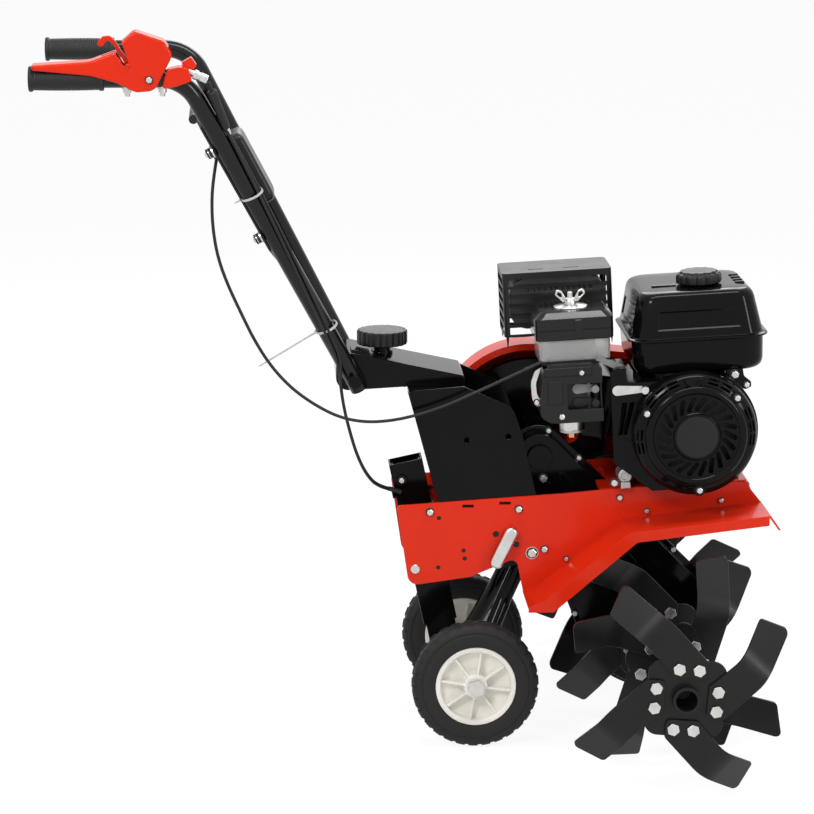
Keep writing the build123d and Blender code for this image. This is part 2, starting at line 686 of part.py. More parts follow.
length = math.hypot(tine_x - input_x, tine_z - input_z)
ux, uz = (tine_x - input_x) / length, (tine_z - input_z) / length
slope = (case_small - case_large) / length
across = math.sqrt(1 - slope * slope)
for side in (-1, 1):
    nx, nz = ux * slope + side * uz * across, uz * slope - side * ux * across
    for share in (0.02, 0.3, 0.62, 0.92):
        reach = case_small + (case_large - case_small) * share + 4.9
        x = input_x + ux * length * share + nx * reach
        z = input_z + uz * length * share + nz * reach
        frame_bolts.append(hexagon(x, z, 8, -8, -3))
        frame_bolts.append(hexagon(x, z, 8, 3, 8))
nodes["frame_bolts"] = group(frame_bolts)

# Handlebar

tube_low = (pivot_x + 8, -beam_half - tube_radius - 0.5, pivot_z - 16)
tube_corner = (corner_x, -grip_y, grip_z)
tube_high = (grip_end_x, -grip_y, grip_z)
handle_wire = bent_wire([tube_low, tube_corner, tube_high], [62])
handle_tube = pipe(handle_wire, tube_radius) - pipe(handle_wire, tube_radius - tube_wall)
handle_tube += rod(pivot_x, pivot_z, 10, -rod_half + 6.5, -beam_half - 1.5)
handle_tube -= rod(pivot_x, pivot_z, pivot_rod + running_gap, -rod_half - 5, -beam_half + 5)
handle_tube -= rod(lever_x, lever_z, 4, -grip_y - 30, -grip_y + 30)
tube_solid = pipe(handle_wire, tube_radius)
nodes["handle_tubes"] = group([handle_tube, left_of(handle_tube)])
grip = Pos(grip_end_x - 4, -grip_y, grip_z) * Rot(0, 90, 0) * Cylinder(
    grip_radius, 112, align=(Align.CENTER, Align.CENTER, Align.MIN))
grip -= tube_solid
nodes["grips"] = group([grip, left_of(grip)])

slope_x = tube_corner[0] - tube_low[0]
slope_y = tube_corner[1] - tube_low[1]
slope_z = tube_corner[2] - tube_low[2]


def tube_at(z):
    """Place (x, y) of the right handle tube's middle line at a height on its straight run."""
    share = (z - tube_low[2]) / slope_z
    return tube_low[0] + slope_x * share, tube_low[1] + slope_y * share


flat_run = math.hypot(slope_x, slope_z)
front = (slope_z / flat_run, -slope_x / flat_run)


def on_handle(z, lift, y):
    """Point at a height on the handle, lifted off the tubes' plane to the front."""
    x = tube_at(z)[0]
    return (x + front[0] * lift, y, z + front[1] * lift)


def handle_plane(z, lift):
    """Plane along the handle: local x is the machine's Y, local y runs up the handle."""
    return Plane(origin=on_handle(z, lift, 0), x_dir=(0, 1, 0), z_dir=(front[0], 0, front[1]))


panel_top = 1005.0
panel_bottom = 800.0
panel_rise = (panel_top - panel_bottom) * flat_run / slope_z
top_half = -tube_at(panel_top)[1] + 4
bottom_half = -tube_at(panel_bottom)[1] + 4
console = outline([(-bottom_half, 0), (-bottom_half * 0.55, -34), (bottom_half * 0.55, -34), (bottom_half, 0),
                   (top_half, panel_rise), (-top_half, panel_rise)], [14, 30, 30, 14, 14, 14])
console_plane = handle_plane(panel_bottom, -tube_radius - 3)
console_panel = extrude(console_plane * console, amount=3)
rolled = console_plane * Pos(0, panel_rise + 2, -4) * Rot(0, 90, 0) * Cylinder(7, 2 * top_half - 60)
console_panel += rolled
for z in (panel_top - 47, panel_bottom + 22):
    for sign in (-1, 1):
        y = sign * -tube_at(z)[1]
        nut = Plane(origin=on_handle(z, -tube_radius - 3, y), x_dir=(0, 1, 0), z_dir=(front[0], 0, front[1]))
        console_panel += nut * Pos(0, 0, -5) * Cylinder(8, 10)
gland_x, gland_y, gland_z = on_handle(panel_top - 60, -tube_radius - 3, -165)
console_panel += post(gland_x, gland_y, 6, gland_z - 1, gland_z + 18)
console_panel -= tube_solid
console_panel -= left_of(tube_solid)
nodes["console_panel"] = console_panel

box_plane = handle_plane(852, -tube_radius)
box_body = box_plane * Pos(-82, 62, 22) * Box(96, 118, 44)
box_body = fillet(box_body.edges(), 9)
box_body += box_plane * Pos(-82, 62, 2) * Box(70, 90, 4)
box_body += box_plane * Pos(-100, -10, 1.5) * Box(44, 60, 3)
box_body -= tube_solid
nodes["control_box"] = box_body

# Clutch lever with its lock, on a bracket at the right grip


def lever_plate(pivot, points, y0, y1, radii=0.0):
    """Outline given from a pivot (x, z), carried between two distances from the middle of the right grip."""
    x0, z0 = pivot
    return plate([(x0 + u, z0 + v) for u, v in points], y0 - grip_y, y1 - grip_y, radii)


lever_pivot = (lever_x, lever_z)
lever_points = [(-174, 21.5), (-88, 27), (-50, 41), (-42, 54), (-21, 72), (23, 57), (35, 35), (8, -17),
                (-20, -19), (-50, -4), (-88, 6), (-172, 14)]
lever_radii = [2, 40, 2, 8, 10, 14, 14, 18, 16, 40, 60, 3]
lever_hollow = [(-187, -40), (53, -40), (53, 24), (22, 53), (-20, 68), (-38, 52), (-46, 39), (-88, 23.8),
                (-187, 18.8)]
lever_notch = [(-54, 47), (-38, 20.5), (-28.5, 21.5), (-41, 60)]
lever = lever_plate(lever_pivot, lever_points, -lever_half, lever_half, lever_radii)
lever -= lever_plate(lever_pivot, lever_hollow, -lever_half + lever_sheet, lever_half - lever_sheet)
lever -= lever_plate(lever_pivot, lever_notch, -lever_half - 1, lever_half + 1, [0, 4, 4, 0])
lock_half = 4.5
lock_room = [(-70, 20), (-20, 20), (-20, 80), (-70, 60)]
lever -= lever_plate(lever_pivot, lock_room, -lock_half - 3, lock_half + 3)
lever -= rod(lever_x, lever_z, 4 + running_gap, -grip_y - 25, -grip_y + 25)
lock_pivot = (lever_x - 31, lever_z + 21.5)
lever += rod(*lock_pivot, 3, -grip_y - lever_half - 2, -grip_y + lever_half + 2)
nodes["clutch_lever"] = lever
lock_path = [(0, 0, 3.4), (-13, 19.5, 2.9), (-20, 32, 2.9), (-27.5, 38.5, 3.4), (-35, 37, 4.4),
             (-40, 30.5, 4.4)]
lock_path = [(lock_pivot[0] + u, lock_pivot[1] + v, radius) for u, v, radius in lock_path]
lock = rod(*lock_pivot, 5.5, -grip_y - lock_half, -grip_y + lock_half)
for first, last in zip(lock_path, lock_path[1:]):
    lock += hull_plate([first, last], -grip_y - lock_half, -grip_y + lock_half)
nodes["lever_lock"] = lock - rod(*lock_pivot, 3 + running_gap, -grip_y - 30, -grip_y + 30)

bracket_points = [(18, -15), (40, -11), (63, -3), (58, 17), (44, 18), (26, 14)]
bracket = lever_plate(lever_pivot, bracket_points, -17.5, 17.5, [4, 20, 4, 4, 6, 6])
bracket += lever_plate(lever_pivot, [(51, 14), (50, 24), (62, 31), (69, 20), (60, 8)], -8, 8)
bracket += rod(lever_x + 69, lever_z + 24, 7, -grip_y - 12, -grip_y + 10)
adjuster_plane = Plane(origin=(lever_x + 73, -grip_y - 5, lever_z + 28), z_dir=(slope_x, 0, slope_z))
bracket += adjuster_plane * Cylinder(5, 44)
bracket -= tube_solid
pin_half = lever_half + 2.5
pivot_pin = rod(lever_x, lever_z, 4, -grip_y - pin_half, -grip_y + pin_half)
for sign in (-1, 1):
    pivot_pin += rod(lever_x, lever_z, 7, -grip_y + sign * pin_half - 2, -grip_y + sign * pin_half + 2)
nodes["lever_bracket"] = group([bracket, pivot_pin])

# Engine, level

crankcase = block(-72, 84, -75, 95, 0, 12) + block(-60, 78, -75, 92, 10, 150)
crankcase = crankcase + rod(crank_x, crank_z, 62, 90, 102) + rod(crank_x, crank_z, 22, 100, 122)
crankcase += rod(crank_x, crank_z, 26, -100, -74)
crankcase += rod(-100, 20, 11, -110, -70) + block(-104, -58, -75.5, -66, 8, 32)
for x, y in ((-50, -60), (66, -60), (66, 50), (-50, 50)):
    crankcase += post(x, y, 9, 148, 181)
crankcase -= rod(crank_x, crank_z, shaft_radius + running_gap, -130, 130)
crankcase -= rod(crank_x, crank_z, 48, -70, 86)
nodes["crankcase"] = pitched(crankcase)

incline = 12.0
muffler_base = 240.0
barrel = block(-128, -40, -46, 46, -42, 42)
for k in range(7):
    barrel += block(-130 + 10 * k, -126 + 10 * k, -58, 58, -52, 52)
barrel += block(-160, -126, -58, 58, -50, 50) + block(-186, -160, -44, 44, -40, 40)
barrel = Pos(crank_x, 0, crank_z) * Rot(0, incline, 0) * barrel
barrel -= block(-60, 78, -75, 92, 0, 220)
barrel -= crankcase
exhaust = post(-150, 40, 15, 150, muffler_base)
barrel += exhaust
barrel += block(-180, -132, -66, -50, 112, 152)
nodes["cylinder"] = pitched(barrel)

shroud_circle = 101.0


def shroud_body(inset, y0, y1):
    """Outline of the fan shroud, drawn in by a wall thickness."""
    body = rod(crank_x, crank_z, shroud_circle - inset, y0, y1)
    moved = [(-134 + inset, 3 + inset), (5, 3 + inset), (5, 195 - inset), (-112 + inset / 2, 202 - inset),
             (-134 + inset, 182 - inset / 2)]
    body += plate(moved, y0, y1, [10, 0, 0, 20, 20])
    body -= block(-200, 200, y0 - 1, y1 + 1, -60, 3 + inset)
    return body - block(-96 - inset, 200, y0 - 1, y1 + 1, 177 - inset, 300)


shroud = shroud_body(0, -150, -76) - shroud_body(2.5, -147.5, -75)
shroud -= rod(crank_x, crank_z, 74, -155, -140)
shroud -= rod(-100, 20, 11.5, -112, -70)
for top_x, low_x in ((-104, -112), (-92, -105)):
    shroud -= plate([(top_x, 146), (low_x, 94), (low_x + 6, 94), (top_x + 7, 146)], -155, -140)
nodes["fan_shroud"] = pitched(shroud)

recoil_face = -191.0
recoil_section = [(97, -150), (97, -172), (82, recoil_face), (70, recoil_face), (68, recoil_face + 4),
                  (37, recoil_face + 4), (35, recoil_face), (0, recoil_face), (0, recoil_face + 3),
                  (33, recoil_face + 3), (33, recoil_face + 7), (70, recoil_face + 7),
                  (79.5, recoil_face + 3), (94, -170.5), (94, -153), (78, -153), (78, -150)]
recoil = revolve(make_face(Polyline(*recoil_section, close=True)), axis=Axis.Y, revolution_arc=360)
for k in range(22):
    slot = Rot(0, 360.0 / 22 * k, 0) * Pos(52, recoil_face + 5, 0) * Rot(0, 28, 0) * Box(27, 12, 5)
    recoil -= slot
recoil = Pos(crank_x, 0, crank_z) * recoil
engine_bolts = []
for degrees in (152, 41, -89):
    a = math.radians(degrees)
    x, z = crank_x + 86 * math.cos(a), crank_z + 86 * math.sin(a)
    recoil += rod(x, z, 9, -183, -152)
    recoil -= rod(x, z, 9.5, -200, -183)
    engine_bolts.append(pitched(hexagon(x, z, 12, -189, -183)))
nodes["engine_bolts"] = group(engine_bolts)
nodes["recoil_starter"] = pitched(recoil)

crank = rod(crank_x, crank_z, shaft_radius, -146, pulley_y + pulley_width + 8)
nodes["crankshaft"] = pitched(crank)
flywheel = rod(crank_x, crank_z, 78, -146, -112) - tube(crank_x, crank_z, 68, 26, -147, -128)
flywheel -= rod(crank_x, crank_z, shaft_radius, -150, -100)
nodes["flywheel"] = pitched(flywheel)

tank_mid_x, tank_mid_y = 21.5, -27.5
tank_long, tank_wide = 217.0, 215.0
tank_base, tank_seam, tank_top = 181.0, 235.0, 309.0


def tank_half(inset, height, taper, round_edge):
    """Half of the tank, from its seam to its closed end, drawn in by a wall thickness."""
    face = RectangleRounded(tank_long - 2 * inset, tank_wide - 2 * inset, 30 - inset)
    half = extrude(face, amount=height - inset, taper=taper)
    return fillet(half.faces().sort_by(Axis.Z)[-1].edges(), round_edge - inset)


def tank_body(inset):
    """Both halves of the tank, the upper one drawn narrower towards its top."""
    upper = tank_half(inset, tank_top - tank_seam, 8, 20)
    lower = Rot(180, 0, 0) * tank_half(inset, tank_seam - tank_base, 2, 20)
    return Pos(tank_mid_x, tank_mid_y, tank_seam) * (upper + lower)


cap_x, cap_y = 33.0, -60.0
tank = tank_body(0)
flange = extrude(RectangleRounded(tank_long + 14, tank_wide + 14, 34), amount=4)
tank += Pos(tank_mid_x, tank_mid_y, tank_seam) * flange
tank += post(cap_x, cap_y, 27, tank_top - 9, tank_top + 11)
tank = tank - tank_body(3) - post(cap_x, cap_y, 22, tank_top - 19, tank_top + 21)
nodes["fuel_tank"] = pitched(tank)
cap_points = []
for k in range(36):
    a = math.radians(10 * k)
    reach = 36.0 if k % 3 else 33.5
    cap_points.append((reach * math.cos(a), reach * math.sin(a)))
cap = extrude(make_face(Polyline(*cap_points, close=True)), amount=16)
cap = Pos(cap_x, cap_y, 310) * (cap + Pos(0, 0, 18) * Cylinder(31, 5))
cap -= post(cap_x, cap_y, 27 + running_gap, 300, 320 + running_gap)
nodes["tank_cap"] = pitched(cap)

cleaner_x, cleaner_y = -172.0, -80.0
cleaner_long, cleaner_wide = 122.0, 112.0
cleaner_base, cleaner_split, cleaner_top = 213.0, 250.0, 290.0


def cleaner_block(inset, z0, z1):
    """Rounded square block of the air cleaner, drawn in by a distance."""
    face = RectangleRounded(cleaner_long - 2 * inset, cleaner_wide - 2 * inset, 13 - inset / 2)
    return Pos(cleaner_x, cleaner_y, z0) * extrude(face, amount=z1 - z0)


bowl = cleaner_block(5, cleaner_base, cleaner_split) - cleaner_block(8, cleaner_base + 3, cleaner_split + 1)
bowl -= post(cleaner_x, cleaner_y, 16, cleaner_base - 10, cleaner_base + 10)
nodes["air_cleaner_bowl"] = pitched(bowl)
lid = cleaner_block(0, cleaner_split, cleaner_top)
lid = chamfer(lid.faces().sort_by(Axis.Z)[-1].edges(), 9)
lid -= cleaner_block(6.5, cleaner_split - 1, cleaner_top - 5)
lid += post(cleaner_x, cleaner_y, 42, cleaner_base + 9, cleaner_top - 4)
lid -= post(cleaner_x, cleaner_y, 30, cleaner_base + 8, cleaner_top - 20)
lid += post(cleaner_x, cleaner_y, 26, cleaner_top - 1, cleaner_top + 3)
lid += post(cleaner_x, cleaner_y, 4, cleaner_top, cleaner_top + 23)
nodes["air_cleaner_body"] = pitched(lid)
wing = post(cleaner_x, cleaner_y, 9, cleaner_top + 3.4, cleaner_top + 12)
for sign in (-1, 1):
    wing += Pos(cleaner_x + sign * 14, cleaner_y, cleaner_top + 15) * Rot(0, sign * -25, 0) * Box(18, 4, 14)
nodes["wing_nut"] = pitched(wing - post(cleaner_x, cleaner_y, 4 + running_gap, cleaner_top, cleaner_top + 40))

carb = block(-202, -148, -104, -66, 128, 176) + post(-178, -86, 19.5, 92, 130)
carb += post(cleaner_x, cleaner_y, 16, 170, 222) + block(-180, -150, -84, -66, 116, 150)
carb += post(-178, -86, 6, 84, 94)
control_face = -134.0
carb += block(-188, -156, control_face, -100, 138, 178)

cover_outline = [(-233, 132), (-215, 120), (-134, 120), (-134, 204), (-150, 212), (-225, 212)]
control_cover = plate(cover_outline, -152, -112, [14, 10, 0, 0, 12, 18])
cover_hollow = [(-230, 134), (-214, 123), (-137, 123), (-137, 202), (-152, 209), (-223, 209)]
control_cover -= plate(cover_hollow, -149, -111)
control_cover -= block(-189, -130, -160, -140, 140, 181)
nodes["control_cover"] = pitched(control_cover)


def small_lever(x, z, angle, length, face):
    """Flat engine lever on a stud in a face, reaching out at an angle."""
    a = math.radians(angle)
    tip = (x + length * math.cos(a), z + length * math.sin(a))
    arm_piece = hull_plate([(x, z, 8), (*tip, 5)], face - 3.5, face - 0.5)
    arm_piece += rod(*tip, 6, face - 14, face - 3)
    return arm_piece + rod(x, z, 4, face - 0.6, face + 2.9)


shroud_face = -150.0
choke_place = (-172.0, 170.0)
fuel_place = (-172.0, 148.0)
throttle_place = (-111.5, 166.5)
nodes["choke_lever"] = pitched(small_lever(*choke_place, 0, 27, control_face))
nodes["fuel_lever"] = pitched(small_lever(*fuel_place, 0, 27, control_face))
nodes["throttle_lever"] = pitched(small_lever(*throttle_place, 0, 42, shroud_face))
for x, z in (choke_place, fuel_place):
    carb -= rod(x, z, 4 + running_gap, control_face - 1, control_face + 7)
nodes["carburettor"] = pitched(carb)
nodes["fan_shroud"] -= pitched(rod(*throttle_place, 4 + running_gap, -160, -145))

# Muffler and its cage of level bars, which hangs from the cage's top plate

muffler_top = 322.0
muffler = fillet(block(-260, -106, 12, 102, muffler_base, muffler_top).edges().filter_by(Axis.Y), 30)
for k in range(12):
    muffler -= block(-232 + 9 * k, -228 + 9 * k, 11, 16, 300, 306)
nodes["muffler"] = pitched(muffler)
guard_sheet = 2.0
guard_top = muffler_top + 10
bar_pitch = 15.5
bar_count = 6
guard_base = muffler_top - bar_count * bar_pitch


def guard_body(inset, z0, z1):
    """Box of the muffler guard with rounded corners, drawn in by a distance."""
    face = RectangleRounded(174 - 2 * inset, 106 - 2 * inset, 9 - inset)
    return Pos(-183, 57, z0) * extrude(face, amount=z1 - z0)


guard = guard_body(0, guard_base, guard_top)
guard -= guard_body(guard_sheet, guard_base - 1, guard_top - guard_sheet)
for k in range(bar_count):
    slot_top = muffler_top - bar_pitch * k
    guard -= block(-261, -105, -10, 120, slot_top - 11, slot_top)
    guard -= block(-280, -90, 14, 100, slot_top - 11, slot_top)
for x in (-226, -170):
    guard -= block(x, x + 24, 30, 34, guard_top - 5, guard_top + 1)
for x0, x1 in ((-270, -262), (-104, -96)):
    leg = plate([(x0 + 2, guard_base + 1), (x1 - 1, guard_base + 1), ((x0 + x1) / 2, guard_base - 20)], 4, 6)
    guard += leg + Pos(0, 104, 0) * leg
guard += post(-177.5, 57, 6, muffler_top, guard_top - 1)
nodes["muffler_guard"] = pitched(guard)

# Cables

cable_radius = 2.5
throttle_route = [(gland_x - 2, gland_y, gland_z - 1.6), (-402, -166, 900), (-404, -166, 862),
                  (-402, -164, 823), (-395, -160, 782), (-381, -155, 741), (-362, -150, 698),
                  (-342, -145, 654), (-317, -140, 612), (-286, -135, 576), (-250, -130, 548),
                  (-212, -127, 527), (-172, -125, 518), (-130, -125, 520), (-88, -125, 529),
                  (-45, -125, 543), (-2, -125, 562), (40, -125, 581), (80, -122, 599)]


def corner_radii(points):
    """Bend radius at each inner point, from the shorter run beside it."""
    found = []
    for k in range(1, len(points) - 1):
        before, corner, after = (Vector(*points[k + j]) for j in (-1, 0, 1))
        inward = before - corner
        outward = after - corner
        turn = math.radians(180 - inward.get_angle(outward))
        found.append(0.45 * min(inward.length, outward.length) / math.tan(turn / 2))
    return found


def cable(points, radius):
    """Cable along a route, its smallest bend and its length."""
    radii = corner_radii(points)
    wire = bent_wire(points, radii)
    solid = pipe(wire, radius)
    volume = math.pi * radius * radius * wire.length
    share = solid.volume / volume
    print("cable: length %.1f, smallest bend %.1f, volume ratio %.4f" % (wire.length, min(radii), share))
    return solid


nodes["throttle_cable"] = cable(throttle_route, cable_radius)
lift = tube_radius + cable_radius + 1.0
clutch = []
for spread in (-3.2, 3.2):
    route = [(-405, -grip_y - 5 + spread, 1058)]
    for step, z in enumerate((1000, 960, 915, 870, 825, 780, 735, 690, 650, 615)):
        a = math.radians(11.5 * step) + spread / lift
        x, y = tube_at(z)
        outward = lift * math.sin(a)
        route.append((x + front[0] * lift * math.cos(a), y - outward, z + front[1] * lift * math.cos(a)))
    route += [(-209, -101 + spread, 577), (-203, -95 + spread, 534), (-193, -86 + spread, 492),
              (-182, -76 + spread, 454), (-167, -62 + spread, 420), (-149, -45 + spread, 397),
              (-130, -27 + spread, 388)]
    clutch.append(cable(route, cable_radius))
nodes["clutch_cables"] = group(clutch)

# Centre the machine over the origin and write the pieces

free_cords = ("throttle_cable", "clutch_cables")
boxes = [shape.bounding_box() for name, shape in nodes.items() if name not in free_cords]
centre_x = (min(b.min.X for b in boxes) + max(b.max.X for b in boxes)) / 2
floor_z = min(b.min.Z for b in boxes)
print("centre", round(centre_x, 4), "floor", round(floor_z, 4))
print("tine axle height", round(tine_z, 4), "nodes", len(nodes))
for name, shape in nodes.items():
    export_step(Pos(-centre_x, 0, -floor_z) * shape, "parts/%s.step" % name)
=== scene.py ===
import json
import math

import bpy
from mathutils import Matrix, Vector


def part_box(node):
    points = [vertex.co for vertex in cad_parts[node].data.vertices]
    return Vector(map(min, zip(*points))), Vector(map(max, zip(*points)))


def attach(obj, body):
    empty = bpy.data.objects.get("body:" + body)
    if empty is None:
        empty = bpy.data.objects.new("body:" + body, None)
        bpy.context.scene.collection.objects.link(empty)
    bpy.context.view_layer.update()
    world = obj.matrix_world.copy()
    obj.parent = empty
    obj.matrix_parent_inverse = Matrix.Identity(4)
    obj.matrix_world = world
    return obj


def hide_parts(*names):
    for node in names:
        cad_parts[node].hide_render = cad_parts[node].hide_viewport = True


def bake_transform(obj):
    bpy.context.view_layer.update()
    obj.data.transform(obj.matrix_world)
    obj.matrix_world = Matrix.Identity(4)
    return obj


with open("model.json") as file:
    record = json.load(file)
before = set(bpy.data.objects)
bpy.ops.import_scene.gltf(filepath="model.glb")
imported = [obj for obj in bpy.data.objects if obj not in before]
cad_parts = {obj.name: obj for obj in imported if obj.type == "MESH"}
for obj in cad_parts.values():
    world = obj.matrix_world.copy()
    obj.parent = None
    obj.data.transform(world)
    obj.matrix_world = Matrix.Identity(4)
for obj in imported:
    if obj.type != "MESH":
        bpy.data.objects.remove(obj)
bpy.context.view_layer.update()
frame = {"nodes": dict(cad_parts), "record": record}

bl_info = {
    "name": "Garden Tiller",
    "version": (1, 0, 0),
    "blender": (4, 5, 0),
    "location": "3D View > Sidebar > Tiller",
    "description": "Builds the visible pieces, finishes and studio of a walk-behind garden tiller",
    "category": "Object",
}

# The pieces are drawn in millimetres with X zero over the wheel axle, as the machine's own drawing is.
MM = 0.001
rim_low, rim_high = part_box("rim_right")
AXLE_X = (rim_low.x + rim_high.x) / 2
DRAWN = Matrix.Translation((AXLE_X, 0, 0)) @ Matrix.Scale(MM, 4)
# The engine is drawn level, about a point on its bed, and stands at a pitch.
ENGINE_PLACE = (338, 0, 409)
ENGINE_PITCH = math.radians(-3.0)
ENGINE = DRAWN @ Matrix.Translation(ENGINE_PLACE) @ Matrix.Rotation(ENGINE_PITCH, 4, "Y")
MIRROR = Matrix.Scale(-1, 4, (0, 1, 0))
ORIGIN = (0, 0, 0)
SIDES = (-1, 1)


# Sizes and colours

class TillerColours(bpy.types.PropertyGroup):
    """Colours of the tiller's finishes"""
    red: bpy.props.FloatVectorProperty(
        name="Frame red", description="Powder coat of frame, belt cover and clutch lever",
        subtype="COLOR", size=3, default=(0.66, 0.022, 0.004))
    black: bpy.props.FloatVectorProperty(
        name="Gloss black", description="Paint of tubes, panels and engine",
        subtype="COLOR", size=3, default=(0.0028, 0.0028, 0.003))
    tine: bpy.props.FloatVectorProperty(
        name="Tine black", description="Paint of the tines", subtype="COLOR", size=3, default=(0.006, 0.006, 0.006))
    ivory: bpy.props.FloatVectorProperty(
        name="Rim ivory", description="Moulded plastic of the wheel rims",
        subtype="COLOR", size=3, default=(0.84, 0.81, 0.75))
    rubber: bpy.props.FloatVectorProperty(
        name="Tyre rubber", description="Rubber of the tyres", subtype="COLOR", size=3, default=(0.012, 0.0115, 0.011))


class TillerSizes(bpy.types.PropertyGroup):
    """Sizes that a maker would change"""
    edge_round: bpy.props.FloatProperty(
        name="Edge rounding", description="Rounding of edges, of which each piece takes a share",
        unit="LENGTH", default=0.001)
    cable_diameter: bpy.props.FloatProperty(
        name="Cable diameter", description="Outside diameter of the control cables", unit="LENGTH", default=0.005)
    grip_ribs: bpy.props.IntProperty(
        name="Grip ribs", description="Rings moulded around each grip", default=26)
    tread_blocks: bpy.props.IntProperty(
        name="Tread blocks", description="Tread blocks around each tyre", default=30)
    tread_depth: bpy.props.FloatProperty(
        name="Tread depth", description="Depth of the grooves in the tyres, in millimetres", default=1.6)
    camera_lens: bpy.props.FloatProperty(
        name="Lens", description="Focal length of the studio camera, in millimetres", default=141.52)


# Finishes

NOISE_RANGE = (0.3, 0.7)
GRAIN_HEIGHT = 0.0006
COAT_ROUGHNESS = 0.06
finishes = {}


def fill(node, **values):
    """Values, or other nodes' outputs, for a node's inputs, by their names with an underscore for a space."""
    for name, value in values.items():
        socket = node.inputs[name.replace("_", " ")]
        if isinstance(value, bpy.types.NodeSocket):
            node.id_data.links.new(value, socket)
        else:
            socket.default_value = value


def add_node(tree, kind, **values):
    """First output of a new shader node with its inputs filled."""
    node = tree.nodes.new(kind)
    fill(node, **values)
    return node.outputs[0]


def new_finish(name):
    """New material, its node tree, its shader and the piece's own coordinates."""
    material = bpy.data.materials.new(name)
    material.use_nodes = True
    tree = material.node_tree
    return material, tree, tree.nodes["Principled BSDF"], tree.nodes.new("ShaderNodeTexCoord").outputs["Object"]


def coated(name, colour, roughness, metallic=0.0, coat=0.0, specular=0.5, patch=6.0, spread=0.12, grain=600.0,
           bump=0.03):
    """Opaque finish: its colour and gloss drift over the piece, and a fine grain breaks up the reflections."""
    material, tree, shader, place = new_finish(name)
    low, high = NOISE_RANGE
    drift = add_node(tree, "ShaderNodeTexNoise", Vector=place, Scale=patch, Detail=4.0)
    fine = add_node(tree, "ShaderNodeTexNoise", Vector=place, Scale=grain, Detail=2.0)
    tint = add_node(tree, "ShaderNodeValToRGB", Fac=drift)
    for stop, position, shade in zip(tint.node.color_ramp.elements, NOISE_RANGE, (1 - spread, 1 + spread)):
        stop.position = position
        stop.color = (*(min(1.0, c * shade) for c in colour), 1)
    gloss = add_node(tree, "ShaderNodeMapRange", Value=drift, From_Min=low, From_Max=high,
                     To_Min=roughness[0], To_Max=roughness[1])
    relief = add_node(tree, "ShaderNodeBump", Height=fine, Strength=bump, Distance=GRAIN_HEIGHT)
    fill(shader, Base_Color=tint, Roughness=gloss, Normal=relief, Metallic=metallic, Specular_IOR_Level=specular,
         Coat_Weight=coat, Coat_Roughness=COAT_ROUGHNESS)
    return material


def smoky(name):
    """Tinted clear plastic with faint moulding marks, drawn out along its height."""
    material, tree, shader, place = new_finish(name)
    upward = add_node(tree, "ShaderNodeMapping", Vector=place, Scale=(1, 1, 0.2))
    marks = add_node(tree, "ShaderNodeTexNoise", Vector=upward, Scale=40.0, Detail=3.0)
    haze = add_node(tree, "ShaderNodeMapRange", Value=marks, To_Min=0.08, To_Max=0.22)
    fill(shader, Base_Color=(0.78, 0.78, 0.76, 1), Transmission_Weight=0.72, IOR=1.42, Roughness=haze)
    return material


def make_finishes():
    """All finishes of the tiller, by the names of their materials."""
    tint = bpy.context.scene.tiller_colours
    finishes["smoky_bowl"] = smoky("smoky_bowl")
    for name, colour, roughness, look in (
        ("red_paint", tint.red, (0.18, 0.26), dict(coat=0.08, specular=0.14, spread=0.05, grain=520)),
        ("black_paint", tint.black, (0.09, 0.16), dict(specular=0.12, spread=0.2, grain=480, bump=0.012)),
        ("tube_paint", tint.black, (0.12, 0.2), dict(specular=0.3, spread=0.2, grain=480, bump=0.015)),
        ("lid_gloss", (0.005, 0.005, 0.0053), (0.14, 0.2),
         dict(specular=0.3, patch=20, spread=0.2, grain=900, bump=0.02)),
        ("guard_black", (0.008, 0.008, 0.0085), (0.34, 0.44),
         dict(specular=0.26, patch=30, spread=0.25, grain=900, bump=0.12)),
        ("tine_paint", tint.tine, (0.3, 0.38), dict(specular=0.26, patch=14, spread=0.25, grain=700, bump=0.05)),
        ("grey_paint", (0.012, 0.012, 0.0125), (0.4, 0.5), dict(specular=0.35, grain=900, bump=0.1)),
        ("silver_steel", (0.62, 0.61, 0.59), (0.22, 0.36),
         dict(metallic=1.0, patch=60, spread=0.1, grain=900, bump=0.05)),
        ("dark_steel", (0.05, 0.05, 0.052), (0.35, 0.5),
         dict(metallic=0.8, patch=30, spread=0.2, grain=500, bump=0.08)),
        ("cast_aluminium", (0.5, 0.5, 0.49), (0.4, 0.55), dict(metallic=1.0, patch=25, grain=420, bump=0.25)),
        ("ivory_plastic", tint.ivory, (0.36, 0.48),
         dict(specular=0.4, patch=18, spread=0.04, grain=800, bump=0.05)),
        ("tyre_rubber", tint.rubber, (0.55, 0.72), dict(specular=0.3, patch=25, spread=0.25, grain=900, bump=0.2)),
        ("black_rubber", (0.011, 0.011, 0.011), (0.45, 0.58),
         dict(specular=0.32, patch=30, spread=0.2, grain=1200, bump=0.18)),
        ("black_plastic", (0.007, 0.007, 0.0075), (0.3, 0.42),
         dict(specular=0.28, patch=12, spread=0.15, grain=1400, bump=0.12)),
        ("lever_grey", (0.2, 0.2, 0.195), (0.35, 0.5), dict(specular=0.4, patch=40, grain=800)),
        ("copper", (0.75, 0.33, 0.2), (0.25, 0.4), dict(metallic=1.0, patch=50, grain=700, bump=0.06)),
        ("white_nylon", (0.5, 0.5, 0.49), (0.35, 0.45), dict(specular=0.3, patch=40, spread=0.04)),
    ):
        finishes[name] = coated(name, colour, roughness, **look)


# Modelling helpers

# Angles in degrees above which an edge is rounded or shown sharp: any piece's, and a slab's
CREASE = 32.0
SLAB_CREASE = 40.0
WELD = 0.005
# Radius direction and axis of a turned piece
LATHE = {"X": ((0, 0, 1), (1, 0, 0)), "Y": ((1, 0, 0), (0, 1, 0)), "Z": ((1, 0, 0), (0, 0, 1))}
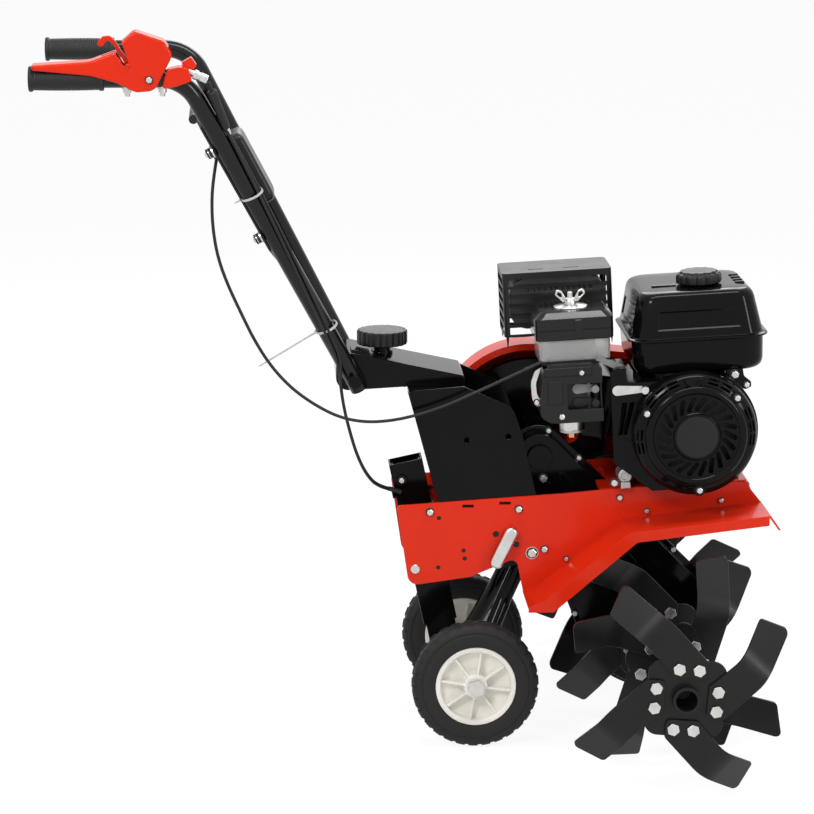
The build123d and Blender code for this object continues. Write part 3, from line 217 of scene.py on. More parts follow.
# Body of the record that carries each node
BODY_OF = {node: body for body, members in frame["record"]["behaviour"]["bodies"].items() for node in members}


def configure(thing, **settings):
    """Settings of an object, its data or a modifier."""
    for name, value in settings.items():
        setattr(thing, name, value)
    return thing


def linked(name, data):
    """New object in the scene."""
    made = bpy.data.objects.new(name, data)
    bpy.context.scene.collection.objects.link(made)
    return made


def rest():
    """Object mode with nothing selected."""
    active = bpy.context.view_layer.objects.active
    if active is not None and active.mode != "OBJECT":
        bpy.ops.object.mode_set(mode="OBJECT")
    for other in list(bpy.context.selected_objects):
        other.select_set(False)


def take(piece):
    """The piece alone selected and active."""
    rest()
    piece.select_set(True)
    bpy.context.view_layer.objects.active = piece


def edit(piece):
    """Edit mode on one piece, with all of it selected."""
    take(piece)
    bpy.ops.object.mode_set(mode="EDIT")
    bpy.ops.mesh.select_mode(type="VERT")
    bpy.ops.mesh.select_all(action="SELECT")


def done():
    """Back to object mode."""
    bpy.ops.object.mode_set(mode="OBJECT")


def pick_faces(piece, test):
    """Edit mode on one piece, with those faces selected whose middle and normal pass a test."""
    edit(piece)
    bpy.ops.mesh.select_all(action="DESELECT")
    done()
    for face in piece.data.polygons:
        face.select = bool(test(face.center, face.normal))
    bpy.ops.object.mode_set(mode="EDIT")
    bpy.ops.mesh.select_mode(type="FACE")


def modify(piece, kind, **settings):
    """A modifier with its settings, applied at once."""
    modifier = configure(piece.modifiers.new(kind, kind), **settings)
    take(piece)
    bpy.ops.object.modifier_apply(modifier=modifier.name)


def soften(piece, width, segments=2, angle=CREASE):
    """Edges sharper than an angle are rounded."""
    modify(piece, "BEVEL", limit_method="ANGLE", angle_limit=math.radians(angle), width=width, segments=segments,
           use_clamp_overlap=False)


def smooth(piece, angle=CREASE):
    """Soft shading except at edges sharper than an angle, with wide faces kept flat."""
    take(piece)
    bpy.ops.object.shade_smooth_by_angle(angle=math.radians(angle))
    modify(piece, "WEIGHTED_NORMAL", keep_sharp=True)


def extrude(shift):
    """What is selected is extruded along a shift."""
    bpy.ops.mesh.extrude_region_move(TRANSFORM_OT_translate={"value": shift})


def trace(name, points, closed=False):
    """Wire through points, drawn by extruding one vertex."""
    rest()
    bpy.ops.mesh.primitive_plane_add(size=0.1, location=points[0])
    wire = bpy.context.object
    wire.name = name
    bpy.ops.object.transform_apply(location=True, rotation=True, scale=True)
    edit(wire)
    bpy.ops.mesh.merge(type="CENTER")
    route = list(points) + ([points[0]] if closed else [])
    for a, b in zip(route, route[1:]):
        extrude(Vector(b) - Vector(a))
    bpy.ops.mesh.select_all(action="SELECT")
    if closed:
        bpy.ops.mesh.remove_doubles(threshold=WELD)
    return wire


def close_up(piece):
    """Normals turned outward, and back to object mode."""
    bpy.ops.mesh.select_all(action="SELECT")
    bpy.ops.mesh.normals_make_consistent(inside=False)
    done()
    return piece


def rounded(points, radii, steps=6):
    """Flat outline with arcs at its corners."""
    outline = []
    count = len(points)
    for k in range(count):
        corner = Vector(points[k])
        radius = radii[k] if isinstance(radii, (list, tuple)) else radii
        if radius <= 0:
            outline.append(tuple(corner))
            continue
        back = (Vector(points[k - 1]) - corner).normalized()
        ahead = (Vector(points[(k + 1) % count]) - corner).normalized()
        half = back.angle(ahead) / 2
        reach = radius / math.tan(half)
        middle = corner + (back + ahead).normalized() * (radius / math.sin(half))
        first = corner + back * reach - middle
        last = corner + ahead * reach - middle
        turn = math.atan2(first.x * last.y - first.y * last.x, first.dot(last))
        for step in range(steps + 1):
            a = turn * step / steps
            outline.append((middle.x + first.x * math.cos(a) - first.y * math.sin(a),
                            middle.y + first.x * math.sin(a) + first.y * math.cos(a)))
    return outline


def rounded_square(long, wide, radius, steps=8):
    """Rounded rectangle about zero."""
    x, y = long / 2, wide / 2
    return rounded([(-x, -y), (x, -y), (x, y), (-x, y)], radius, steps)


def lobed(count, outer, inner, steps):
    """Round outline with rounded lobes."""
    points = []
    for k in range(count * steps):
        a = 2 * math.pi * k / (count * steps)
        reach = inner + (outer - inner) * abs(math.cos(count * a / 2)) ** 0.7
        points.append((reach * math.cos(a), reach * math.sin(a)))
    return points


def carried(name, points, shift, soft):
    """Closed outline filled and carried along a shift, its edges rounded by a width and a count of segments."""
    piece = trace(name, points, closed=True)
    bpy.ops.mesh.edge_face_add()
    extrude(shift)
    close_up(piece)
    if soft:
        soften(piece, *soft, SLAB_CREASE)
    return piece


def slab(name, outline, y0, y1, soft=None):
    """Outline of (x, z) points carried from y0 to y1."""
    return carried(name, [(x, y0, z) for x, z in outline], (0, y1 - y0, 0), soft)


def upright(name, outline, z0, z1, soft=None):
    """Outline of (x, y) points carried from z0 to z1."""
    return carried(name, [(x, y, z0) for x, y in outline], (0, 0, z1 - z0), soft)


def tower(name, outline, levels, centre):
    """Outline of (x, y) points raised through levels of z and its share of the outline, or its x and y shares."""
    (z0, sx, sy), *others = [(*level, level[-1])[:3] for level in levels]
    cx, cy = centre
    piece = trace(name, [(cx + x * sx, cy + y * sy, z0) for x, y in outline], closed=True)
    bpy.ops.mesh.edge_face_add()
    for z1, tx, ty in others:
        extrude((0, 0, z1 - z0))
        bpy.ops.transform.resize(value=(tx / sx, ty / sy, 1), center_override=(cx, cy, z1))
        z0, sx, sy = z1, tx, ty
    return close_up(piece)


def lathe(name, profile, centre, axis, steps=32):
    """Profile of (radius, along) points spun about an axis through a centre."""
    out, ahead = LATHE[axis]
    piece = trace(name, [tuple(c + radius * o + along * a for c, o, a in zip(centre, out, ahead))
                         for radius, along in profile])
    bpy.ops.mesh.spin(steps=steps, angle=2 * math.pi, center=centre, axis=ahead)
    bpy.ops.mesh.select_all(action="SELECT")
    bpy.ops.mesh.remove_doubles(threshold=WELD)
    return close_up(piece)


def pin(name, radius, start, end, centre, axis, steps=32):
    """Plain round pin along an axis."""
    return lathe(name, [(0, start), (radius, start), (radius, end), (0, end)], centre, axis, steps)


def brick(name, low, high, width):
    """Box between two corners, its edges rounded."""
    rest()
    bpy.ops.mesh.primitive_cube_add(size=1, location=[(a + b) / 2 for a, b in zip(low, high)])
    piece = bpy.context.object
    piece.name = name
    piece.scale = [b - a for a, b in zip(low, high)]
    bpy.ops.object.transform_apply(location=True, rotation=True, scale=True)
    soften(piece, width, 3)
    return piece


def copy_of(piece, matrix):
    """The piece again, with its own mesh, moved by a matrix."""
    again = piece.copy()
    again.data = piece.data.copy()
    bpy.context.scene.collection.objects.link(again)
    again.data.transform(matrix)
    if matrix.determinant() < 0:
        again.data.flip_normals()
    return again


def joined(pieces, name):
    """Pieces of one finish made one object."""
    rest()
    for piece in pieces:
        piece.select_set(True)
    bpy.context.view_layer.objects.active = pieces[0]
    if len(pieces) > 1:
        bpy.ops.object.join()
    pieces[0].name = name
    return pieces[0]


def cut(piece, tools):
    """The tools' volume is taken out of the piece."""
    tool = joined(tools, "cutter")
    modify(piece, "BOOLEAN", operation="DIFFERENCE", solver="EXACT", object=tool)
    bpy.data.objects.remove(tool)


def tilted(place, degrees, axis="Y"):
    """Turn about an axis, then a move to a place."""
    return Matrix.Translation(place) @ Matrix.Rotation(math.radians(degrees), 4, axis)


def about(centre, axis, degrees):
    """Turn about a line through a centre."""
    return tilted(centre, degrees, axis) @ Matrix.Translation(centre).inverted()


def node_box(node):
    """Limits of a node in the drawing's millimetres."""
    low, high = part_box(node)
    back = DRAWN.inverted()
    return back @ low, back @ high


# Finished pieces

def paint(mesh, finish):
    """One finish alone on a mesh."""
    mesh.materials.clear()
    mesh.materials.append(finishes[finish])


def settle(piece, body, finish, where=DRAWN, nodes=(), angle=CREASE):
    """A finished piece goes to its place, takes its finish and rides on its body."""
    if where is not None:
        piece.data.transform(where)
    smooth(piece, angle)
    paint(piece.data, finish)
    rest()
    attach(piece, body)
    if nodes:
        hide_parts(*nodes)
    return piece


def on_engine(piece, finish, nodes=(), angle=CREASE, body="chassis"):
    """A finished piece of the engine."""
    settle(piece, body, finish, ENGINE, nodes, angle)


# Limits on what rounding may do to a node: shares of its area, and a spike past its box in metres
AREA_SHARES = (0.9, 1.0004)
SPILL = 0.00003
# Share of the rounding, and whether flat faces are dissolved first, until one leaves the mesh sound
ROUNDING_TRIES = ((1, True), (1, False), (0.6, True), (0.6, False), (0.35, True), (0.35, False), (0, True))
SAME_POINT = 0.000004
SAME_PLANE = math.radians(0.6)


def extent(mesh):
    """Triangle area of a mesh and its lowest and highest corner."""
    mesh.calc_loop_triangles()
    area = sum(triangle.area for triangle in mesh.loop_triangles)
    low = [min(vertex.co[k] for vertex in mesh.vertices) for k in range(3)]
    high = [max(vertex.co[k] for vertex in mesh.vertices) for k in range(3)]
    return area, low, high


def sound(mesh, area, low, high):
    """True where rounding left no fold, which adds area, and no spike, which leaves the box."""
    new_area, new_low, new_high = extent(mesh)
    spill = max(max(a - b for a, b in zip(low, new_low)), max(b - a for a, b in zip(high, new_high)))
    return AREA_SHARES[0] * area < new_area <= AREA_SHARES[1] * area and spill < SPILL


def dressed(node, finish, width, segments=2, shade=CREASE):
    """A node's own shape with soft shading, its edges rounded as far as its mesh allows."""
    size = bpy.context.scene.tiller_sizes.edge_round * width
    whole = extent(frame["nodes"][node].data)
    for share, flat in ROUNDING_TRIES:
        mesh = frame["nodes"][node].data.copy()
        piece = linked(node + "_finished", mesh)
        edit(piece)
        if mesh.has_custom_normals:
            bpy.ops.mesh.customdata_custom_splitnormals_clear()
        bpy.ops.mesh.remove_doubles(threshold=SAME_POINT)
        if flat:
            bpy.ops.mesh.dissolve_limited(angle_limit=SAME_PLANE)
        done()
        if size * share > 0:
            soften(piece, size * share, segments)
        if sound(piece.data, *whole) or share == 0:
            break
        bpy.data.objects.remove(piece)
    return settle(piece, BODY_OF[node], finish, None, (node,), shade)


def dress_all(finish, **widths):
    """Several nodes in one finish, each with its share of the edge rounding."""
    for node, width in widths.items():
        dressed(node, finish, width)


WASHER = 1.2


def hex_bolt(name, x, z, across, y0, y1):
    """Hexagonal head along Y from y1 to y0, chamfered at y0."""
    corner = across / math.sqrt(3)
    turns = [math.radians(60 * k + 15) for k in range(6)]
    head = slab(name, [(x + corner * math.cos(a), z + corner * math.sin(a)) for a in turns], y1, y0)
    outward = 1 if y0 > y1 else -1
    pick_faces(head, lambda c, n: n.y * outward > 0.9)
    bpy.ops.mesh.inset(thickness=across * 0.09)
    bpy.ops.transform.translate(value=(0, outward * across * 0.05, 0))
    done()
    soften(head, 0.3, 1, 40)
    return head


def bolt_set(name, body, bolts, where=DRAWN, nodes=(), more=()):
    """Bright heads on washers in a dark finish that paints shade round each head, each bolt given as x, z, size across
    its flats, foot and height along Y.
    """
    heads, rings = list(more), []
    for x, z, across, foot, high in bolts:
        top = foot + math.copysign(WASHER, high)
        edge = 0.72 * across
        heads.append(hex_bolt("head", x, z, across, foot + high, top))
        rings.append(lathe("ring", [(0, foot), (edge, foot), (edge, (foot + top) / 2), (edge - 0.4, top), (0, top)],
                           (x, 0, z), "Y", 28))
    settle(joined(heads, name), body, "silver_steel", where, nodes, 20)
    # The washers' dark finish is painted shade round the bright heads.
    settle(joined(rings, name + "_shaded_washers"), body, "dark_steel", where)


# Studio

WHITE = (1, 1, 1, 1)
# Area lights: name, power, width, height, place and the point that they face
LAMPS = (("key_light", 75, 0.8, 1.1, (-1.9, -3.0, 3.1), (0.1, 0, 0.5)),
         ("fill_light", 40, 0.5, 1.8, (2.7, -2.6, 1.8), (0.2, 0, 0.4)),
         ("back_light", 48, 2.0, 2.0, (0.6, 2.9, 2.8), (0.1, 0, 0.5)),
         ("top_light", 40, 2.0, 0.5, (0.2, -0.6, 3.4), (0.1, 0, 0.4)))
CAMERA_PLACE = (-0.2586, -4.9665, 1.5898)
# The camera looks down by 12.2 degrees and from 3 degrees to the side
CAMERA_TURN = (math.radians(90 - 12.2), 0, math.radians(-3.0))
FLOOR_SIZE = 60
FLOOR_Z = -0.0004


def mixed(tree, first, second, share):
    """Mix of two shaders by a number or another node's output."""
    mix = add_node(tree, "ShaderNodeMixShader", Fac=share)
    for socket, shader in zip(mix.node.inputs[1:], (first, second)):
        tree.links.new(shader, socket)
    return mix


def seen(tree):
    """One for rays from the camera, from gloss and through clear pieces."""
    path = tree.nodes.new("ShaderNodeLightPath")
    value = path.outputs["Is Camera Ray"]
    for ray in ("Is Glossy Ray", "Is Transmission Ray"):
        larger = tree.nodes.new("ShaderNodeMath")
        larger.operation = "MAXIMUM"
        for socket, source in zip(larger.inputs, (value, path.outputs[ray])):
            tree.links.new(source, socket)
        value = larger.outputs["Value"]
    return value


class TILLER_OT_stage(bpy.types.Operator):
    """Pale floor, soft lights, white surroundings and the camera"""
    bl_idname = "tiller.stage"
    bl_label = "Studio"

    def execute(self, context):
        scene = context.scene
        scene.view_settings.view_transform = "Standard"
        rest()
        bpy.ops.mesh.primitive_plane_add(size=FLOOR_SIZE, location=(0, 0, FLOOR_Z))
        floor = context.object
        floor.name = "studio_floor"
        material, tree, shader, place = new_finish("studio_floor")
        for spare in (shader, place.node):
            tree.nodes.remove(spare)
        matt = add_node(tree, "ShaderNodeBsdfDiffuse", Color=(0.86, 0.86, 0.86, 1))
        glow = add_node(tree, "ShaderNodeEmission", Color=WHITE, Strength=1.08)
        lit = mixed(tree, matt, glow, 0.84)
        fill(tree.nodes["Material Output"], Surface=mixed(tree, matt, lit, seen(tree)))
        floor.data.materials.append(material)
        scene.world = bpy.data.worlds.new("studio")
        scene.world.use_nodes = True
        tree = scene.world.node_tree
        soft = tree.nodes["Background"]
        fill(soft, Color=WHITE, Strength=0.42)
        white = add_node(tree, "ShaderNodeBackground", Color=WHITE, Strength=1.0)
        fill(tree.nodes["World Output"], Surface=mixed(tree, soft.outputs["Background"], white, seen(tree)))
        for name, power, wide, tall, place, aim in LAMPS:
            lamp = configure(bpy.data.lights.new(name, "AREA"), energy=power, shape="RECTANGLE", size=wide, size_y=tall)
            aimed = (Vector(aim) - Vector(place)).to_track_quat("-Z", "Y")
            configure(linked(name, lamp), location=place, rotation_euler=aimed.to_euler())
        eye = bpy.data.cameras.new("studio_camera")
        configure(eye, sensor_width=36, lens=scene.tiller_sizes.camera_lens)
        scene.camera = configure(linked("studio_camera", eye), location=CAMERA_PLACE, rotation_euler=CAMERA_TURN)
        return {"FINISHED"}


# Cables

# Straight run of the right handle tube, from its low end to the bend below the grip
TUBE_LOW = Vector((-178, -74.5, 561))
TUBE_CORNER = Vector((-441, -217, 1064))
TUBE_RADIUS = 14.0
GRIP_Y = 217.0
GRIP_Z = 1064
RUN = math.hypot(TUBE_CORNER.x - TUBE_LOW.x, TUBE_CORNER.z - TUBE_LOW.z)
FRONT = Vector(((TUBE_CORNER.z - TUBE_LOW.z) / RUN, 0, (TUBE_LOW.x - TUBE_CORNER.x) / RUN))
# The clutch cables lie side by side, this far off their middle, and wind along the tube's front
CLUTCH_SPREAD = 3.2
CLUTCH_HEIGHTS = (1000, 960, 915, 870, 825, 780, 735, 690, 650, 615)
CLUTCH_END = ((-209, -101, 577), (-203, -95, 534), (-193, -86, 492), (-182, -76, 454), (-167, -62, 420),
              (-149, -45, 397), (-130, -27, 388))
THROTTLE_ROUTE = [(-395.8, -165, 935.6), (-402, -166, 900), (-404, -166, 862), (-402, -164, 823), (-395, -160, 782),
                  (-381, -155, 741), (-362, -150, 698), (-342, -145, 654), (-317, -140, 612), (-286, -135, 576),
                  (-250, -130, 548), (-212, -127, 527), (-172, -125, 518), (-130, -125, 520), (-88, -125, 529),
                  (-45, -125, 543), (-2, -125, 562), (40, -125, 581), (80, -122, 599)]


def tube_at(z):
    """Middle of the right handle tube at a height on its straight run."""
    return TUBE_LOW.lerp(TUBE_CORNER, (z - TUBE_LOW.z) / (TUBE_CORNER.z - TUBE_LOW.z))


def clutch_route(spread):
    """Route of one clutch cable, along the front of the tube and into the frame."""
    lift = TUBE_RADIUS + 3.5
    route = [(-405, -GRIP_Y - 5 + spread, 1058)]
    for step, z in enumerate(CLUTCH_HEIGHTS):
        a = math.radians(11.5 * step) + spread / lift
        route.append(tuple(tube_at(z) + FRONT * lift * math.cos(a) - Vector((0, lift * math.sin(a), 0))))
    return route + [(x, y + spread, z) for x, y, z in CLUTCH_END]


def lay_cable(name, route, nodes):
    """One cable laid along its route from the handlebar to the chassis."""
    rest()
    curve = bpy.data.curves.new(name, "CURVE")
    curve.dimensions = "3D"
    spline = curve.splines.new("NURBS")
    spline.points.add(len(route) - 1)
    for point, place in zip(spline.points, route):
        point.co = (*(DRAWN @ Vector(place)), 1)
    configure(spline, order_u=3, use_endpoint_u=True, resolution_u=8)
    cable = linked(name, curve)
    bpy.context.view_layer.update()
    line = bpy.data.meshes.new_from_object(cable.evaluated_get(bpy.context.evaluated_depsgraph_get()))
    bpy.data.meshes.remove(line)
    diameter = bpy.context.scene.tiller_sizes.cable_diameter
    configure(curve, bevel_depth=diameter / 2, bevel_resolution=4, use_fill_caps=True)
    take(cable)
    bpy.ops.object.convert(target="MESH")
    cable = bpy.context.object
    cable.name = name
    smooth(cable, 60)
    paint(cable.data, "black_rubber")
    rest()
    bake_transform(cable)
    if nodes:
        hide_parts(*nodes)


class TILLER_OT_cables(bpy.types.Operator):
    """Throttle cable and the two clutch cables"""
    bl_idname = "tiller.cables"
    bl_label = "Cables"

    def execute(self, context):
        lay_cable("throttle_cord", THROTTLE_ROUTE, ("throttle_cable",))
        for name, spread, nodes in (("clutch_cord_outer", -CLUTCH_SPREAD, ("clutch_cables",)),
                                    ("clutch_cord_inner", CLUTCH_SPREAD, ())):
            lay_cable(name, clutch_route(spread), nodes)
        return {"FINISHED"}


# Frame

FRAME_HALF = 105
SIDE_SHEET = 4
# Open holes of both side plates, as x, z and radius
PLAIN_HOLES = [(-55, 358, 3.5), (-16, 305, 3.5), (-14, 292, 3.5), (-56, 278, 3.5), (35, 331, 5), (67, 314, 5)]
# Bolts of the side plates, as x, z and size across the flats
FRAME_BOLTS = [(-69, 368.5, 9.5), (70.5, 371.5, 9.5), (111.5, 306, 9), (92, 300, 13), (229.5, 388, 8),
               (272, 366, 6.5), (390, 382, 6.5), (146, 290, 6.5)]
CLAMP_STUD = (58, 334)
CLAMP_TAIL = (36, 289)
# Drawn thickness of the handle's pivot, which clears the facets of its bearings
PIVOT_SHARE = 0.965
KNOB_HIGH = 21
# Count of lobes, outer and inner radius, and steps of each lobe
KNOB_LOBES = (20, 40.0, 37.6, 4)


def pivot_rod():
    """Handle pivot, a little thinner than its bearings."""
    rod = dressed("handle_pivot_rod", "black_paint", 0.8)
    low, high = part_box("handle_pivot_rod")
    middle = Matrix.Translation((Vector(low) + Vector(high)) / 2)
    rod.data.transform(middle @ Matrix.Diagonal((PIVOT_SHARE, 1, PIVOT_SHARE, 1)) @ middle.inverted())


def side_bolts():
    """Bolts of both side plates, carriage pivot, rivets and the idler's stub."""
    places = [(x, z, across, side * FRAME_HALF, side * 5) for x, z, across in FRAME_BOLTS for side in SIDES]
    more = [pin("pivot_pin", 10, -FRAME_HALF - 1, FRAME_HALF + 1, (92, 0, 300), "Y"),
            lathe("idler_stub", [(0, 101), (7, 101), (7, 132.5), (12, 132.5), (12, 138), (0, 138)],
                  (226, 0, 386), "Y")]
    for side in SIDES:
        foot, face = side * FRAME_HALF, side * (FRAME_HALF + 2.6)
        more.append(lathe("rivet", [(0, foot), (7.4, foot), (7.4, face - side), (6.6, face), (0, face)],
                          (-92, 0, 276), "Y"))
    bolt_set("frame_bolts_turned", "chassis", places, nodes=("frame_bolts",), more=more)


def hand_knob():
    """Lobed hand knob with a raised cap and its neck."""
    low, high = node_box("knob")
    middle = ((low.x + high.x) / 2, 0)
    foot = high.z - KNOB_HIGH
    levels = [(-2, 0.95), (-1.4, 0.98), (0, 1), (18.4, 1), (20, 0.985), (20.9, 0.955), (21, 0.91), (20.2, 0.86),
              (20, 0.8), (20, 0.2)]
    grip = tower("knob_moulded", lobed(*KNOB_LOBES), [(foot + z, share) for z, share in levels], middle)
    neck = lathe("neck", [(0, foot - 12), (13, foot - 12), (13, foot - 3), (16, foot + 1), (0, foot + 1)],
                 (*middle, 0), "Z", 40)
    settle(joined([grip, neck], "knob_moulded"), BODY_OF["knob"], "black_plastic", nodes=("knob",), angle=40)


def clamp_finger():
    """Clamp lever: a thick rounded finger on its stud."""
    stud, tail = Vector(CLAMP_STUD), Vector(CLAMP_TAIL)
    lean = math.atan2(tail.y - stud.y, tail.x - stud.x)
    outline = []
    for centre, turn, radius in ((tail, lean - math.pi / 2, 10.4), (stud, lean + math.pi / 2, 10.8)):
        for k in range(13):
            a = turn + math.pi * k / 12
            outline.append((centre.x + radius * math.cos(a), centre.y + radius * math.sin(a)))
    finger = slab("clamp_finger", outline, -FRAME_HALF - 18, -FRAME_HALF - 8)
    soften(finger, 4.6, 5, 50)
    foot = pin("clamp_foot", 8.6, -FRAME_HALF - 10, -FRAME_HALF - 0.5, (stud.x, 0, stud.y), "Y")
    settle(joined([finger, foot], "clamp_finger"), BODY_OF["clamp_lever"], "silver_steel", nodes=("clamp_lever",))


def cable_ends():
    """Bolt on the stake guide, the clutch cables' sleeves and tails at its sides, and the throttle cable's sleeve."""
    bolt_set("guide_bolt", "chassis", [(-109.4, 402.2, 8, -29, -5)])
    pieces = []
    for radius, long, place, degrees in ((3.1, 22, (-131.5, -27 - CLUTCH_SPREAD, 388.4), 14),
                                         (3.1, 22, (-131.5, -27 + CLUTCH_SPREAD, 388.4), 14),
                                         (3.2, 44, (76, -122.4, 597.2), -24)):
        profile = [(0, 0), (radius - 0.5, 0), (radius, 1), (radius, long), (0, long)]
        pieces.append(lathe("sleeve", profile, ORIGIN, "X", 24))
        pieces[-1].data.transform(tilted(place, degrees))
    pieces += [pin("cable_tail", 2.5, -86, -48, (0, side * CLUTCH_SPREAD, 383.5), "X", 20) for side in SIDES]
    settle(joined(pieces, "cable_sleeves"), "chassis", "black_rubber")


def hole_shade_discs():
    """Dark discs set in the open holes of both side plates, as painted shade inside the holes."""
    shade_discs = []
    for x, z, radius in PLAIN_HOLES:
        edge, back = radius - 0.05, SIDE_SHEET - 2
        # Each disc is painted shade: a dark rubber finish where the view would otherwise pass through the hole.
        plug = lathe("plug", [(0, 0.5), (radius * 0.7, 0.4), (edge, 0), (edge, back), (0, back)],
                     (x, 2 - FRAME_HALF, z), "Y", 24)
        shade_discs += [plug, copy_of(plug, MIRROR)]
    settle(joined(shade_discs, "hole_shade_discs"), "chassis", "black_rubber")


class TILLER_OT_frame(bpy.types.Operator):
    """Red side plates and bed, black support, beam, stake and guide"""
    bl_idname = "tiller.frame"
    bl_label = "Frame"

    def execute(self, context):
        dress_all("red_paint", side_plate_right=1, side_plate_left=1, engine_bed=1, belt_cover=0.9)
        dress_all("black_paint", handle_support=1.2, handle_beam=1.2, stake_guide=1, depth_stake=1)
        for make in (pivot_rod, side_bolts, hand_knob, clamp_finger, cable_ends, hole_shade_discs):
            make()
        return {"FINISHED"}


# Tines

# Chain case: middle and radius of its upper end, radius of its lower end, and its flange's bolt line
CASE_HEAD = (110, 437)
CASE_SMALL = 36
CASE_LARGE = 103
CASE_EDGE = 5
CASE_STEPS = (42, 113, 184, 255)


def case_bolts():
    """Bolts and nuts along the flange of the chain case, and the plug on its face."""
    low, high = node_box("tine_sprocket")
    head = Vector(CASE_HEAD)
    run = Vector(((low.x + high.x) / 2, (low.z + high.z) / 2)) - head
    along = run.normalized()
    across = Vector((-along.y, along.x))
    slope = (CASE_LARGE - CASE_SMALL) / run.length
    lean = math.sqrt(1 - slope * slope)
    places = [head + (across * side * 0.835 - along * 0.55) * (CASE_SMALL + CASE_EDGE) for side in SIDES]
    for step in CASE_STEPS:
        reach = (CASE_SMALL + slope * step) / lean + CASE_EDGE
        places += [head + along * step + across * side * reach for side in SIDES]
    bolts = [(116, 403, 11, -28, -7)]
    for x, z in places:
        bolts += [(x, z, 8, -3, -5.5), (x, z, 8, 3, 5)]
    bolt_set("case_bolts", "chassis", bolts)


class TILLER_OT_tines(bpy.types.Operator):
    """Tine hubs, bent blades, bolts, shaft and chain case"""
    bl_idname = "tiller.tines"
    bl_label = "Tines"

    def execute(self, context):
        dress_all("tine_paint", tine_hubs=0.8, tine_blades=1)
        dress_all("dark_steel", tine_shaft=0.8)
        dress_all("black_paint", chain_case_right=1, chain_case_left=1)
        dressed("tine_bolts", "silver_steel", 0.5, 1, 20)
        case_bolts()
        return {"FINISHED"}


# Wheels

# Half widths of the tread's middle and side grooves
MIDDLE_GROOVE = 0.8
SIDE_GROOVE = (6.2, 7.4)
RIM_RIBS = 8


def tyre_at(centre, radius, half):
    """Tyre spun from its section, with tread grooves sunk into it."""
    sizes = bpy.context.scene.tiller_sizes
    side = [(radius - drop, along) for drop, along in (
        (0, MIDDLE_GROOVE), (0, SIDE_GROOVE[0]), (0, SIDE_GROOVE[1]), (0.8, 12.5), (3.2, 17.0))]
    side += [(radius - drop, half - inset) for drop, inset in (
        (7.5, 2.6), (12.0, 1.5), (13.2, 2.1), (15.5, 2.1), (16.8, 0.6), (24.0, 0), (32.0, 0.8), (35.4, 2.4),
        (36.3, 5.0), (36.6, 9.0), (42.0, 9.5))]
    section = [(r, -a) for r, a in reversed(side)] + side
    section.append(section[0])
    count = sizes.tread_blocks * 3
    piece = lathe("tyre_right_moulded", section, centre, "Y", count)
    step = 2 * math.pi / count

    def groove(middle, normal):
        away = middle - Vector(centre)
        along = abs(away.y)
        turn = int(math.floor((math.atan2(away.z, away.x) % (2 * math.pi)) / step))
        if math.hypot(away.x, away.z) < radius - 8.5:
            return False
        if along < MIDDLE_GROOVE or SIDE_GROOVE[0] < along < SIDE_GROOVE[1]:
            return True
        shift = (1 if away.y > 0 else 0) + (0 if along < SIDE_GROOVE[0] else 1)
        return (turn + shift) % 3 == 0

    pick_faces(piece, groove)
    bpy.ops.mesh.extrude_region_shrink_fatten(TRANSFORM_OT_shrink_fatten={"value": -sizes.tread_depth})
    done()
    return piece


def rim_at(centre):
    """Rim with hub, dished web and ribs on each face."""
    face = [(8.05, 22.0), (16.0, 22.0), (18.0, 21.4), (18.8, 20.0), (19.4, 8.0), (20.6, 5.6), (23.0, 5.0),
            (51.5, 7.6), (53.6, 8.6), (54.6, 10.5), (55.2, 17.0), (56.0, 19.0), (57.6, 19.8), (62.0, 20.2),
            (63.2, 19.4), (63.2, 16.0), (58.0, 15.0)]
    hub = [(18.8, 25.0), (17.4, 26.4), (8.05, 26.4)]
    section = [(r, -a) for r, a in face] + list(reversed(face[4:])) + hub + [(8.05, -22.0)]
    pieces = [lathe("rim_right_moulded", section, centre, "Y", 96)]
    outline = [(17.5, -4.5), (54.6, -6.5), (55.0, -17.4), (47.0, -17.9), (28.0, -18.6), (17.5, -20.4)]
    rib = upright("rib", [(centre[0] + x, centre[1] + y) for x, y in outline], centre[2] - 1.7, centre[2] + 1.7,
                  (0.8, 2))
    flip = Matrix.Translation(centre) @ MIRROR @ Matrix.Translation(centre).inverted()
    for k in range(RIM_RIBS):
        turn = about(centre, "Y", 360 / RIM_RIBS * k + 9)
        pieces += [copy_of(rib, turn), copy_of(rib, turn @ flip)]
    bpy.data.objects.remove(rib)
    return joined(pieces, "rim_right_moulded")


class TILLER_OT_wheels(bpy.types.Operator):
    """Tyres with tread, spoked rims, stub axles and their carriage"""
    bl_idname = "tiller.wheels"
    bl_label = "Wheels"

    def execute(self, context):
        low, high = node_box("tyre_right")
        centre = tuple((a + b) / 2 for a, b in zip(low, high))
        tyre = tyre_at(centre, (high.z - low.z) / 2, (high.y - low.y) / 2)
        for piece, kind, finish in ((tyre, "tyre", "tyre_rubber"), (rim_at(centre), "rim", "ivory_plastic")):
            again = copy_of(piece, MIRROR)
            again.name = kind + "_left_moulded"
            settle(again, "wheel_left", finish, nodes=(kind + "_left",))
            settle(piece, "wheel_right", finish, nodes=(kind + "_right",))
        dress_all("silver_steel", wheel_stubs=0.8)
        dress_all("black_paint", carriage=0.8)
        return {"FINISHED"}


# Handlebar

# Cable ties: share of the way up the tube, and length of the tail
TIES = ((0.6366, 12), (0.2055, 104))
TAIL_AIM = Vector((-0.857, 0, -0.514))
TAIL_SIDE = Vector((0.514, 0, -0.857)) * 1.3
NUT_HEIGHTS = (958, 822)
BOX_HEIGHT = 852


